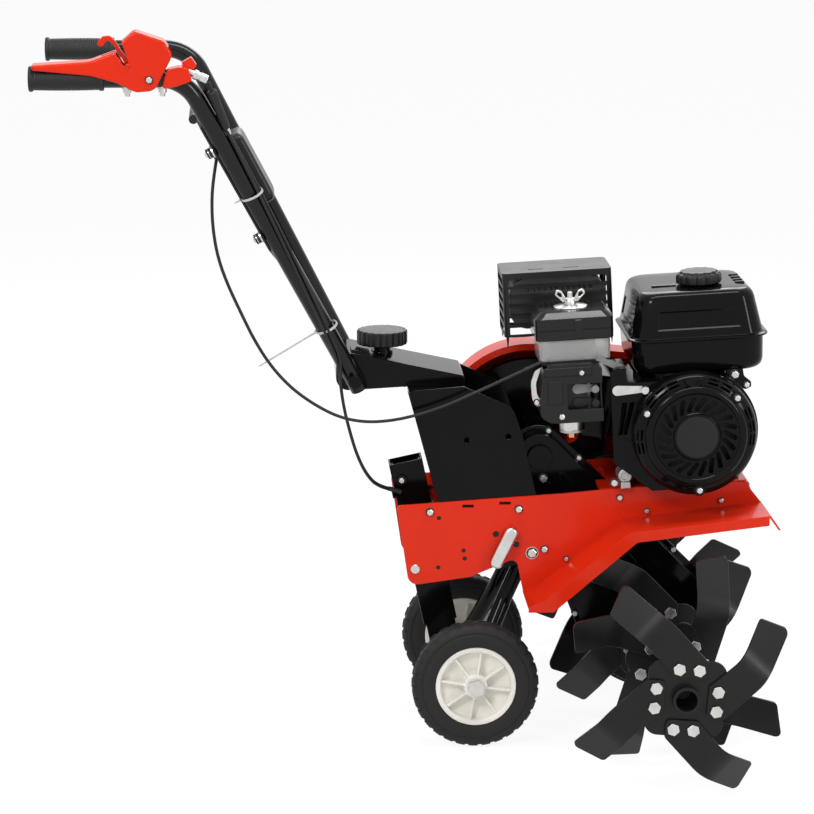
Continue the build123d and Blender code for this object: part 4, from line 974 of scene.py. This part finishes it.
def along_handle(z, lift, y=0.0):
    """Place on the handle's plane for a piece drawn with x along Y, y up the handle and z to its front."""
    origin = Vector((tube_at(z).x, y, z)) + FRONT * lift
    up = Vector((TUBE_CORNER.x - TUBE_LOW.x, 0, TUBE_CORNER.z - TUBE_LOW.z)).normalized()
    return Matrix(((0, up.x, FRONT.x, origin.x), (1, up.y, FRONT.y, origin.y), (0, up.z, FRONT.z, origin.z),
                   (0, 0, 0, 1)))


def ribbed_grips(ribs):
    """Rubber grips with a flange at each end and fine rings between them."""
    low, high = node_box("grips")
    start, end = low.x, high.x
    profile = [(0.0, start), (13.0, start), (17.6, start + 0.6), (19.0, start + 2.2), (19.2, start + 5.0),
               (18.2, start + 7.0), (17.0, start + 8.0)]
    first, last = start + 10.0, end - 9.0
    pitch = (last - first) / ribs
    for k in range(ribs):
        x = first + pitch * k
        swell = 0.7 * math.sin(math.pi * k / (ribs - 1))
        profile += [(16.5 + swell, x), (17.1 + swell, x + 0.35 * pitch), (17.1 + swell, x + 0.65 * pitch),
                    (16.5 + swell, x + 0.98 * pitch)]
    profile += [(17.2, end - 7.5), (18.2, end - 6.5), (18.2, end - 1.5), (17.4, end - 0.4), (14.05, end),
                (14.05, start + 4.1), (0.0, start + 4.1)]
    grip = lathe("grips_moulded", profile, (0, -GRIP_Y, GRIP_Z), "X", 40)
    settle(joined([grip, copy_of(grip, MIRROR)], "grips_moulded"), "handlebar", "black_rubber", nodes=("grips",),
           angle=50)


def control_box():
    """Control box: a soft-edged housing with a lid line, its tongue and its seat."""
    levels = [(0.4, 0.93, 0.94), (1.6, 0.975, 0.98), (5.0, 1), (25.0, 1), (25.3, 0.985, 0.988), (26.3, 0.985, 0.988),
              (26.6, 1), (37.0, 0.985, 0.988), (40.5, 0.955, 0.962), (42.8, 0.9, 0.918), (43.8, 0.83, 0.86),
              (44.0, 0.7, 0.74)]
    body = tower("control_box_moulded", rounded_square(96, 118, 14), levels, (-82, 62))
    tongue = upright("tongue", [(-122, -40), (-78, -40), (-78, 22), (-122, 22)], 0.2, 3.0, (1.0, 2))
    seat = upright("seat", [(-117, 17), (-47, 17), (-47, 107), (-117, 107)], 0.1, 2.0)
    piece = joined([body, tongue, seat], "control_box_moulded")
    piece.data.transform(along_handle(BOX_HEIGHT, -TUBE_RADIUS))
    settle(piece, "handlebar", "black_plastic", nodes=("control_box",))


def cap_nuts():
    """Domed nuts behind the console."""
    dome = [(0, -13.5), (2.5, -13.2), (4.6, -12.0), (5.8, -10.0), (6.0, -8.0), (8.2, -7.2), (8.2, -6.4), (7.0, -6.2),
            (7.0, -2.0), (9.5, -1.8), (9.5, 0.4), (0, 0.4)]
    nuts = []
    for z in NUT_HEIGHTS:
        for side in SIDES:
            nuts.append(lathe("cap_nut", dome, ORIGIN, "Z", 24))
            nuts[-1].data.transform(along_handle(z, -TUBE_RADIUS - 3, side * -tube_at(z).y))
    settle(joined(nuts, "cap_nuts"), "handlebar", "silver_steel")


def cable_tie(middle, tail):
    """Nylon tie around the right tube and its cables, with its head and cut tail."""
    run = (TUBE_CORNER - TUBE_LOW).normalized()
    ahead = FRONT - run * FRONT.dot(run)
    ahead.normalize()
    across = run.cross(ahead)
    strip = []
    for k in range(48):
        a = 2 * math.pi * k / 48
        lobe = 1.0 + 0.36 * max(0.0, math.cos(a - 0.5)) ** 2
        reach = (TUBE_RADIUS + 1.0) * lobe
        strip.append(middle + ahead * reach * math.cos(a) - across * reach * math.sin(a))
    band = trace("cable_tie", [tuple(p - run * 1.8) for p in strip], closed=True)
    extrude(tuple(run * 3.6))
    close_up(band)
    modify(band, "SOLIDIFY", thickness=1.1, offset=1)
    foot = middle - ahead * (TUBE_RADIUS + 1.0)
    head = brick("tie_head", (-3.2, -3.0, -2.6), (3.2, 3.0, 2.6), 0.8)
    head.data.transform(Matrix.Translation(foot))
    end = foot + TAIL_AIM * tail
    corners = (foot - TAIL_SIDE, foot + TAIL_SIDE, end + TAIL_SIDE * 0.7, end - TAIL_SIDE * 0.7)
    strap = slab("tie_tail", [(p.x, p.z) for p in corners], foot.y - 1.8, foot.y + 1.8)
    settle(joined([band, head, strap], "cable_tie"), "handlebar", "white_nylon")


class TILLER_OT_handlebar(bpy.types.Operator):
    """Handle tubes, ribbed grips, console, control box and cable ties"""
    bl_idname = "tiller.handlebar"
    bl_label = "Handlebar"

    def execute(self, context):
        dress_all("tube_paint", handle_tubes=0.5)
        dress_all("grey_paint", console_panel=1)
        ribbed_grips(context.scene.tiller_sizes.grip_ribs)
        control_box()
        cap_nuts()
        for place, tail in TIES:
            cable_tie(TUBE_LOW.lerp(TUBE_CORNER, place), tail)
        return {"FINISHED"}


# Clutch

LEVER_X = -493
LEVER_HALF = 21.8
LEVER_WALL = 3
BOOT_TOP = Vector((-401, -214, 1043))
BOOT_END = Vector((-380.7, -194.6, 986))
GRIP_SCREWS = (-526, -474)


def at_grip(name, outline, half, soft=None):
    """Outline about the lever's pivot, carried to both sides of the grip's middle."""
    return slab(name, [(LEVER_X + u, GRIP_Z + v) for u, v in outline], -GRIP_Y - half, -GRIP_Y + half, soft)


def clutch_lever():
    """Moulded lever with two cheeks, its hooked notch and the lock's pin."""
    outline = [(-174, 21.5), (-88, 27), (-50, 41), (-42, 54), (-21, 72), (23, 57), (35, 35), (8, -17), (-20, -19),
               (-50, -4), (-88, 6), (-172, 14)]
    lever = at_grip("clutch_lever_moulded", rounded(outline, [2, 40, 2, 8, 10, 14, 14, 18, 16, 40, 60, 3]), LEVER_HALF)
    soften(lever, 3.6, 4, 50)
    channel = [(-187, -40), (53, -40), (53, 24), (22, 53), (-20, 68), (-38, 52), (-46, 39), (-88, 23.8), (-187, 18.8)]
    notch = rounded([(-54, 47), (-38, 20.5), (-28.5, 21.5), (-41, 60)], [0, 4, 4, 0])
    lock_room = [(-70, 20.2), (-20, 20.2), (-20, 80), (-70, 60)]
    for room, half in ((channel, LEVER_HALF - LEVER_WALL), (notch, LEVER_HALF + 4), (lock_room, 7.5)):
        cut(lever, [at_grip("room", room, half)])
    ends = [(0, LEVER_HALF + 2), (2.2, LEVER_HALF + 2), (3, LEVER_HALF + 1.4)]
    pivot = lathe("lock_pin", [(r, -a) for r, a in ends] + ends[::-1], (LEVER_X - 31, -GRIP_Y, GRIP_Z + 21.5), "Y", 20)
    settle(joined([lever, pivot], "clutch_lever_moulded"), "clutch_lever", "red_paint", nodes=("clutch_lever",),
           angle=40)


def lever_saddle():
    """Bracket of the lever with the block that holds the cables, and the lever's bolts."""
    saddle = at_grip("saddle", rounded([(18, -15), (40, -11), (63, -3), (58, 17), (44, 18), (26, 14)],
                                       [4, 20, 4, 4, 6, 6], 4), 17.5, (2.0, 3))
    block = at_grip("cable_block", rounded([(50, 10), (48, 24), (62, 32), (70, 20), (62, 8)], 1.5, 3), 8, (1.2, 2))
    settle(joined([saddle, block], "lever_saddle"), "handlebar", "red_paint", nodes=("lever_bracket",))
    bolt_set("lever_bolts", "handlebar",
             [(LEVER_X, GRIP_Z, 8.5, -GRIP_Y + side * LEVER_HALF, side * 4.5) for side in SIDES])


def cable_fittings():
    """Adjuster, boot and tip of the clutch cables, and the screws under the grip."""
    barrel = lathe("adjuster", [(0, -4), (5.0, -4), (5.0, 6), (7.4, 6.4), (7.4, 12), (6.0, 12.6), (6.0, 16),
                                (6.8, 16.6), (6.8, 27), (6.2, 28), (0, 28)], ORIGIN, "X")
    barrel.data.transform(tilted((LEVER_X + 60, -GRIP_Y - 5, GRIP_Z + 9), 24))
    settle(barrel, "handlebar", "silver_steel")
    run = BOOT_END - BOOT_TOP
    reach = run.length
    boot = [(0, -2), (6.4, -2), (7.8, 0), (7.8, 10), (7.2, 12), (6.6, reach - 1), (5.6, reach), (0, reach)]
    tip = [(0, reach - 2), (5, reach - 2), (5, reach + 9), (4.2, reach + 11), (0, reach + 11)]
    for name, profile, steps, finish in (("cable_boot", boot, 32, "black_rubber"),
                                         ("boot_tip", tip, 28, "silver_steel")):
        piece = lathe(name, profile, ORIGIN, "Z", steps)
        piece.data.transform(Matrix.Translation(BOOT_TOP) @ run.to_track_quat("Z", "Y").to_matrix().to_4x4())
        settle(piece, "handlebar", finish)
    screw = [(0, -13), (3.4, -12.6), (4.4, -11), (4.4, -7), (6.6, -6.6), (6.6, -1.4), (8.2, -1.2), (8.2, 2), (0, 2)]
    screws = [lathe("screw_end", screw, (x, -GRIP_Y, GRIP_Z - TUBE_RADIUS), "Z", 24) for x in GRIP_SCREWS]
    settle(joined(screws, "grip_screws"), "handlebar", "silver_steel")


class TILLER_OT_clutch(bpy.types.Operator):
    """Moulded clutch lever, its hooked lock, the bracket and the cables' fittings"""
    bl_idname = "tiller.clutch"
    bl_label = "Clutch lever"

    def execute(self, context):
        clutch_lever()
        dressed("lever_lock", "red_paint", 1.6, 3)
        lever_saddle()
        cable_fittings()
        return {"FINISHED"}


# Engine

# Planes that trim the fan shroud's lower corner and its side, each as a point and the way that is kept
SHROUD_TRIMS = (((-134, 0, 62), (0.634, 0, 0.774)), ((-121, 0, 62), (1, 0, 0)))
BOWL_PLACE = (-178, -86)


def trimmed_shroud():
    """Fan shroud with its corner and its side cut back."""
    shroud = dressed("fan_shroud", "black_paint", 2.0)
    edit(shroud)
    for place, facing in SHROUD_TRIMS:
        bpy.ops.mesh.select_all(action="SELECT")
        bpy.ops.mesh.bisect(plane_co=ENGINE @ Vector(place), plane_no=ENGINE.to_3x3().normalized() @ Vector(facing),
                            use_fill=True, clear_inner=True)
    done()
    smooth(shroud)


def fuel_side():
    """Float bowl with its drain, face plate behind the control window, the cover's stay, screws and pad."""
    outline = rounded([(-188.6, 138.5), (-156, 138.5), (-156, 178), (-188.6, 178)], 1.5, 3)
    on_engine(slab("control_plate", outline, -134.4, -134.05), "black_plastic")
    bowl = [(0, 91.6), (12, 91.6), (17, 92.6), (19.4, 95.4), (20.1, 99), (20.1, 120), (22.6, 120.6), (22.6, 125),
            (20.1, 125.6), (20.1, 129), (0, 129)]
    on_engine(lathe("float_bowl", bowl, (*BOWL_PLACE, 0), "Z", 56), "silver_steel")
    head = hex_bolt("drain_bolt", 0, 0, 14, -8.5, 0)
    ring = lathe("drain_washer", [(0.1, 0), (9.5, 0), (9.5, -1.2), (9.0, -1.6), (0.1, -1.6)], ORIGIN, "Y")
    drain = joined([head, ring], "drain_bolt")
    drain.data.transform(tilted((*BOWL_PLACE, 91.7), 90, "X"))
    on_engine(drain, "copper")
    outline = [(-226, 208), (-237, 202), (-244, 184), (-243, 160), (-239, 147), (-229, 147), (-230, 158),
               (-234.5, 166), (-235.5, 183), (-230, 197)]
    stay = slab("cover_stay", rounded(outline, [1, 8, 16, 14, 5, 3, 3, 12, 14, 1], 4), -139, -135, (1.2, 2))
    on_engine(stay, "silver_steel")
    bolt_set("cover_screws", "chassis", [(-236, 153.5, 7.5, -139, -4.6), (-199, 131, 8, -152, -4.6),
                                         (-166, 199, 7, -154.4, -4)], ENGINE)
    pad = brick("cover_pad", (-219, -154, 150), (-196, -150, 188), 1.6)
    step = brick("cover_step", (-224, -154.4, 194), (-150, -150, 208), 2.0)
    on_engine(joined([pad, step], "cover_pad"), "black_plastic")


def fittings():
    """Control channel over the shroud, case boss, and the bracket and bolts under the tank."""
    outline = rounded([(-142, 214), (-139, 221), (-85, 195), (-85, 176.5), (-93, 176.5), (-93, 187)],
                      [1, 1, 3, 0, 0, 1], 3)
    channel = [slab("cheek", outline, y, y + 1.6) for y in (-137, -126)]
    channel.append(slab("web", [(-140, 215.4), (-139.2, 217), (-86.2, 191), (-87, 189.4)], -136, -125))
    on_engine(joined(channel, "control_channel"), "lever_grey")
    boss = lathe("case_boss", [(0, -110.5), (5.4, -110.5), (6.2, -112), (9.4, -112), (10.9, -110.6), (11.3, -107),
                               (11.3, -76), (0, -76)], (-100, 0, 20), "Y", 40)
    foot = brick("case_foot", (-108, -116, 0.2), (-92, -80, 12), 2.0)
    on_engine(joined([boss, foot], "case_boss"), "cast_aluminium")
    outline = rounded([(62, 190), (62, 172), (70, 160), (92, 150), (101, 154), (101, 162), (90, 172), (88, 190)],
                      [0, 6, 8, 5, 4, 4, 8, 0], 4)
    on_engine(slab("tank_hanger", outline, -126, -118, (1.5, 2)), "black_paint")
    bolt_set("tank_bolts", "chassis", [(75, 176, 11, -126, -8), (93, 158.5, 8, -126, -6), (-118, 12, 10, -114, -7)],
             ENGINE)


class TILLER_OT_engine(bpy.types.Operator):
    """Engine block, shroud and small engine pieces"""
    bl_idname = "tiller.engine"
    bl_label = "Engine block"

    def execute(self, context):
        dress_all("black_paint", crankcase=1.5, cylinder=0.8)
        dress_all("dark_steel", flywheel=0, muffler=2)
        dress_all("cast_aluminium", carburettor=1.2)
        dress_all("black_plastic", control_cover=1.2, fuel_lever=0.8)
        dress_all("lever_grey", choke_lever=0.8)
        dress_all("silver_steel", throttle_lever=0.6)
        dress_all("guard_black", muffler_guard=0.6)
        trimmed_shroud()
        fuel_side()
        fittings()
        return {"FINISHED"}


# Starter

CRANK = (5, 94)
SLOTS = 22
SLOT_LEAN = 32
# Angles of the vents around the bell, the radii of their two rows, and the bolts' angles and radius
VENT_ANGLES = (112, 126, 140, 70, 56, 20, 6, -8, 176, 190)
VENT_ROWS = (84.5, 90.5)
BOLT_ANGLES = (152, 41, -89)
BOLT_ROW = 86


class TILLER_OT_starter(bpy.types.Operator):
    """Recoil starter bell with its ring of slots, and its bolts"""
    bl_idname = "tiller.starter"
    bl_label = "Starter"

    def execute(self, context):
        cx, cz = CRANK
        centre = (cx, 0, cz)
        section = [(97, -150), (97, -164), (96.4, -168), (94.6, -172.5), (91, -176.5), (86, -179.5), (82, -180.8),
                   (80.2, -181.6), (79.4, -184), (78.2, -187.4), (75.6, -189.8), (72, -190.8), (69.4, -190.6),
                   (67.6, -189.2), (66.4, -187.6), (62, -187.0), (42, -187.0), (38, -187.4), (36.6, -188.6),
                   (35.8, -190.2), (34.4, -191), (0, -191), (0, -188), (33, -188), (34.5, -184), (66, -184),
                   (75, -186), (77, -178), (90, -173), (94, -165), (94, -153), (79, -153), (79, -150), (97, -150)]
        bell = lathe("starter_moulded", section, centre, "Y", 110)
        outline = rounded([(38.5, -3.4), (64.5, -3.9), (64.5, 3.9), (38.5, 3.4)], 3.0, 5)
        slot = slab("slot", [(cx + x, cz + z) for x, z in outline], -205, -177)
        slot.data.transform(about((cx + 51, 0, cz), "Y", SLOT_LEAN))
        tools = [copy_of(slot, about(centre, "Y", 360 / SLOTS * k)) for k in range(SLOTS)]
        bpy.data.objects.remove(slot)
        outline = rounded([(-9, -1.6), (9, -1.6), (9, 1.6), (-9, 1.6)], 1.5, 3)
        for degrees in VENT_ANGLES:
            for reach in VENT_ROWS:
                tools.append(slab("vent", outline, -190, -168))
                tools[-1].data.transform(tilted(centre, 90 - degrees) @ Matrix.Translation((0, 0, reach)))
        turns = [math.radians(degrees) for degrees in BOLT_ANGLES]
        places = [(cx + BOLT_ROW * math.cos(a), cz + BOLT_ROW * math.sin(a)) for a in turns]
        seat = [(0, -200), (9.4, -200), (9.4, -183), (0, -183), (0, -200)]
        boss = [(0, -183.2), (8.6, -183.2), (9.2, -182.4), (9.2, -152), (0, -152), (0, -183.2)]
        tools += [lathe("seat", seat, (x, 0, z), "Y", 28) for x, z in places]
        cut(bell, tools)
        feet = [lathe("boss", boss, (x, 0, z), "Y", 28) for x, z in places]
        outline = rounded([(-13, 184), (-7, 184), (4, 171.5), (14, 183), (20, 183), (6, 165), (2, 165)], 1.2, 3)
        guide = slab("rope_guide", outline, -184, -166, (1.0, 2))
        on_engine(joined([bell, guide] + feet, "starter_moulded"), "black_paint", ("recoil_starter",), 30)
        bolt_set("starter_bolts", "chassis", [(x, z, 8.5, -183, -5.5) for x, z in places], ENGINE, ("engine_bolts",))
        disc = lathe("starter_disc", [(0, -191.5), (31.0, -191.5), (32.4, -191.1), (32.8, -190.4), (0, -190.4)],
                     centre, "Y", 64)
        on_engine(disc, "black_plastic")
        return {"FINISHED"}


# Tank and air cleaner

TANK_MIDDLE = (21.5, -27.5)
FILLER = (33, -60)
CAP_LOBES = (12, 36.0, 32.5, 6)
# Heights of the tank with their share of its outline
TANK_LEVELS = ((181.2, 0.84), (182.2, 0.885), (184.5, 0.93), (188.5, 0.965), (194, 0.984), (200, 0.99), (230, 1),
               (233.6, 1.005), (235.2, 1.02), (235.2, 1.055), (236.0, 1.064), (238.0, 1.064), (238.8, 1.055),
               (239.2, 1.02), (241.0, 1.0), (246, 0.992), (287, 0.936), (295, 0.922), (301, 0.9), (305, 0.87),
               (307.6, 0.83), (308.8, 0.78), (309.4, 0.66), (309.8, 0.4))
# The tank is drawn shorter than its solid, more so between the seam and the top of the side panels
TANK_SHARE = 0.948
TANK_LEAN = 0.028
LEAN_FOOT = 241
LEAN_HEIGHT = 46
CLEANER_X, CLEANER_Y = -172, -80
BOWL_OUTLINE = (112, 102, 10.5, 4)
WING = ((5, 297), (12, 298), (24, 309), (21, 318), (13, 315), (7, 304))
WING_EYE = ((12, 302), (20.5, 309), (19, 314), (13.5, 311))


class TILLER_OT_tank(bpy.types.Operator):
    """Fuel tank with its seam flange, recessed side panels, ribs and scalloped cap"""
    bl_idname = "tiller.tank"
    bl_label = "Fuel tank"

    def execute(self, context):
        mx, my = TANK_MIDDLE
        levels = []
        for z, share in TANK_LEVELS:
            lean = min(max(0.0, (z - LEAN_FOOT) / LEAN_HEIGHT), 1.0)
            levels.append((z, share * (TANK_SHARE - TANK_LEAN * lean), share))
        tank = tower("tank_pressed", rounded_square(217, 215, 32, 10), levels, TANK_MIDDLE)
        pick_faces(tank, lambda c, n: 247 < c.z < 286 and min(abs(c.x - mx), abs(c.y - my)) < 1)
        bpy.ops.mesh.inset(thickness=6.0, use_individual=True)
        bpy.ops.mesh.inset(thickness=2.2, depth=-1.6, use_individual=True)
        done()
        neck = lathe("neck", [(22, 308), (22, 320), (26, 320.4), (27, 319.5), (27, 312), (31, 309.6), (36, 308.6),
                              (36, 307)], (*FILLER, 0), "Z", 48)
        ribs = [brick("rib", (88, y, 300), (104, y + 9, 311.5), 3.0) for y in (-70, -48, -26, -4)]
        on_engine(joined([tank, neck] + ribs, "tank_pressed"), "black_paint", ("fuel_tank",), 34)
        cap = tower("cap_moulded", lobed(*CAP_LOBES), [
            (312, 0.93), (312.8, 0.98), (314, 1), (323, 1), (325.4, 0.98), (327, 0.93), (327.8, 0.86), (328.2, 0.84),
            (330.2, 0.82), (331.0, 0.79), (331.2, 0.6)], FILLER)
        on_engine(cap, "black_plastic", ("tank_cap",), 40, "tank_cap")
        outline = rounded([(-42, -66), (-4, -68), (-4, -56), (-42, -58)], 2.0, 3)
        on_engine(upright("cap_strap", outline, 309.6, 311.4), "black_plastic")
        return {"FINISHED"}


class TILLER_OT_cleaner(bpy.types.Operator):
    """Air cleaner: lid with its steps, smoky bowl, washer and wing nut"""
    bl_idname = "tiller.cleaner"
    bl_label = "Air cleaner"

    def execute(self, context):
        middle = (CLEANER_X, CLEANER_Y)
        axis = (*middle, 0)
        lid = tower("cleaner_lid", rounded_square(122, 112, 13, 4), [
            (247, 0.985), (248, 1), (262, 1), (262.5, 0.988), (263.5, 0.988), (264, 1), (280.6, 1), (281.4, 0.99),
            (289.4, 0.858, 0.847), (290, 0.845, 0.832)], middle)
        ridge = brick("ridge", (CLEANER_X, -137.6, 249), (CLEANER_X + 12, -132, 279), 1.6)
        on_engine(joined([lid, ridge], "cleaner_lid"), "lid_gloss", ("air_cleaner_body",), 24)
        bowl = tower("cleaner_bowl", rounded_square(*BOWL_OUTLINE), [
            (213.0, 0.95, 0.945), (213.8, 0.975, 0.973), (216, 0.985, 0.984), (250, 1)], middle)
        pick_faces(bowl, lambda c, n: n.z > 0.9)
        bpy.ops.mesh.delete(type="FACE")
        done()
        modify(bowl, "SOLIDIFY", thickness=2.6, offset=-1)
        on_engine(bowl, "smoky_bowl", ("air_cleaner_bowl",))
        core = lathe("cleaner_core", [(0, 217), (36, 217), (37, 218), (37, 243), (0, 243)], axis, "Z", 48)
        on_engine(core, "grey_paint")
        band = tower("bowl_band", rounded_square(*BOWL_OUTLINE), [(207.5, 0.95), (208.5, 0.97), (212.2, 0.97),
                                                                  (213.0, 0.955)], middle)
        on_engine(band, "black_plastic")
        washer = lathe("cleaner_washer", [(0, 289.6), (26, 289.8), (26.4, 290.6), (25, 291.6), (12, 293.2),
                                          (4.2, 293.2), (4.2, 312), (3.4, 313), (0, 313)], axis, "Z", 48)
        on_engine(washer, "silver_steel")
        pieces = [lathe("wing_nut_cast", [(4.1, 293.4), (9.2, 293.6), (9, 298), (7, 303.4), (4.1, 304)], axis, "Z")]
        for side in SIDES:
            wing, eye = ([(CLEANER_X + side * u, z) for u, z in points] for points in (WING, WING_EYE))
            ear = slab("ear", rounded(wing, [1, 3, 4, 4, 4, 1], 4), -82, -78)
            cut(ear, [slab("eye", rounded(eye, 1.6, 3), -90, -70)])
            soften(ear, 0.9, 2, 40)
            pieces.append(ear)
        on_engine(joined(pieces, "wing_nut_cast"), "silver_steel", ("wing_nut",), 45, "wing_nut")
        return {"FINISHED"}


# Drive

DRIVE_FINISHES = {
    "dark_steel": ("drive_chain", "tine_sprocket", "idler_arm", "idler_pulley"),
    "silver_steel": ("input_shaft", "crankshaft"),
    "black_paint": ("driven_pulley", "engine_pulley"),
    "black_rubber": ("drive_belt",),
}


class TILLER_OT_drive(bpy.types.Operator):
    """Finishes of the shafts, chain, pulleys and belt inside the covers"""
    bl_idname = "tiller.drive"
    bl_label = "Drive"

    def execute(self, context):
        for finish, nodes in DRIVE_FINISHES.items():
            for node in nodes:
                paint(frame["nodes"][node].data, finish)
        return {"FINISHED"}


class TILLER_PT_panel(bpy.types.Panel):
    """Pieces of the tiller"""
    bl_label = "Garden Tiller"
    bl_space_type = "VIEW_3D"
    bl_region_type = "UI"
    bl_category = "Tiller"

    def draw(self, context):
        for group in (context.scene.tiller_sizes, context.scene.tiller_colours):
            for name in group.bl_rna.properties.keys():
                if name not in ("rna_type", "name"):
                    self.layout.prop(group, name)
        for operator in OPERATORS:
            self.layout.operator(operator.bl_idname)


OPERATORS = (TILLER_OT_stage, TILLER_OT_cables, TILLER_OT_frame, TILLER_OT_tines, TILLER_OT_wheels,
             TILLER_OT_handlebar, TILLER_OT_clutch, TILLER_OT_engine, TILLER_OT_starter, TILLER_OT_tank,
             TILLER_OT_cleaner, TILLER_OT_drive)
CLASSES = (TillerColours, TillerSizes) + OPERATORS + (TILLER_PT_panel,)


def register():
    for cls in CLASSES:
        bpy.utils.register_class(cls)
    bpy.types.Scene.tiller_colours = bpy.props.PointerProperty(type=TillerColours)
    bpy.types.Scene.tiller_sizes = bpy.props.PointerProperty(type=TillerSizes)


def unregister():
    del bpy.types.Scene.tiller_sizes
    del bpy.types.Scene.tiller_colours
    for cls in reversed(CLASSES):
        bpy.utils.unregister_class(cls)


def main():
    register()
    make_finishes()
    for operator in OPERATORS:
        group, call = operator.bl_idname.split(".")
        getattr(getattr(bpy.ops, group), call)()


if __name__ == "__main__":
    main()
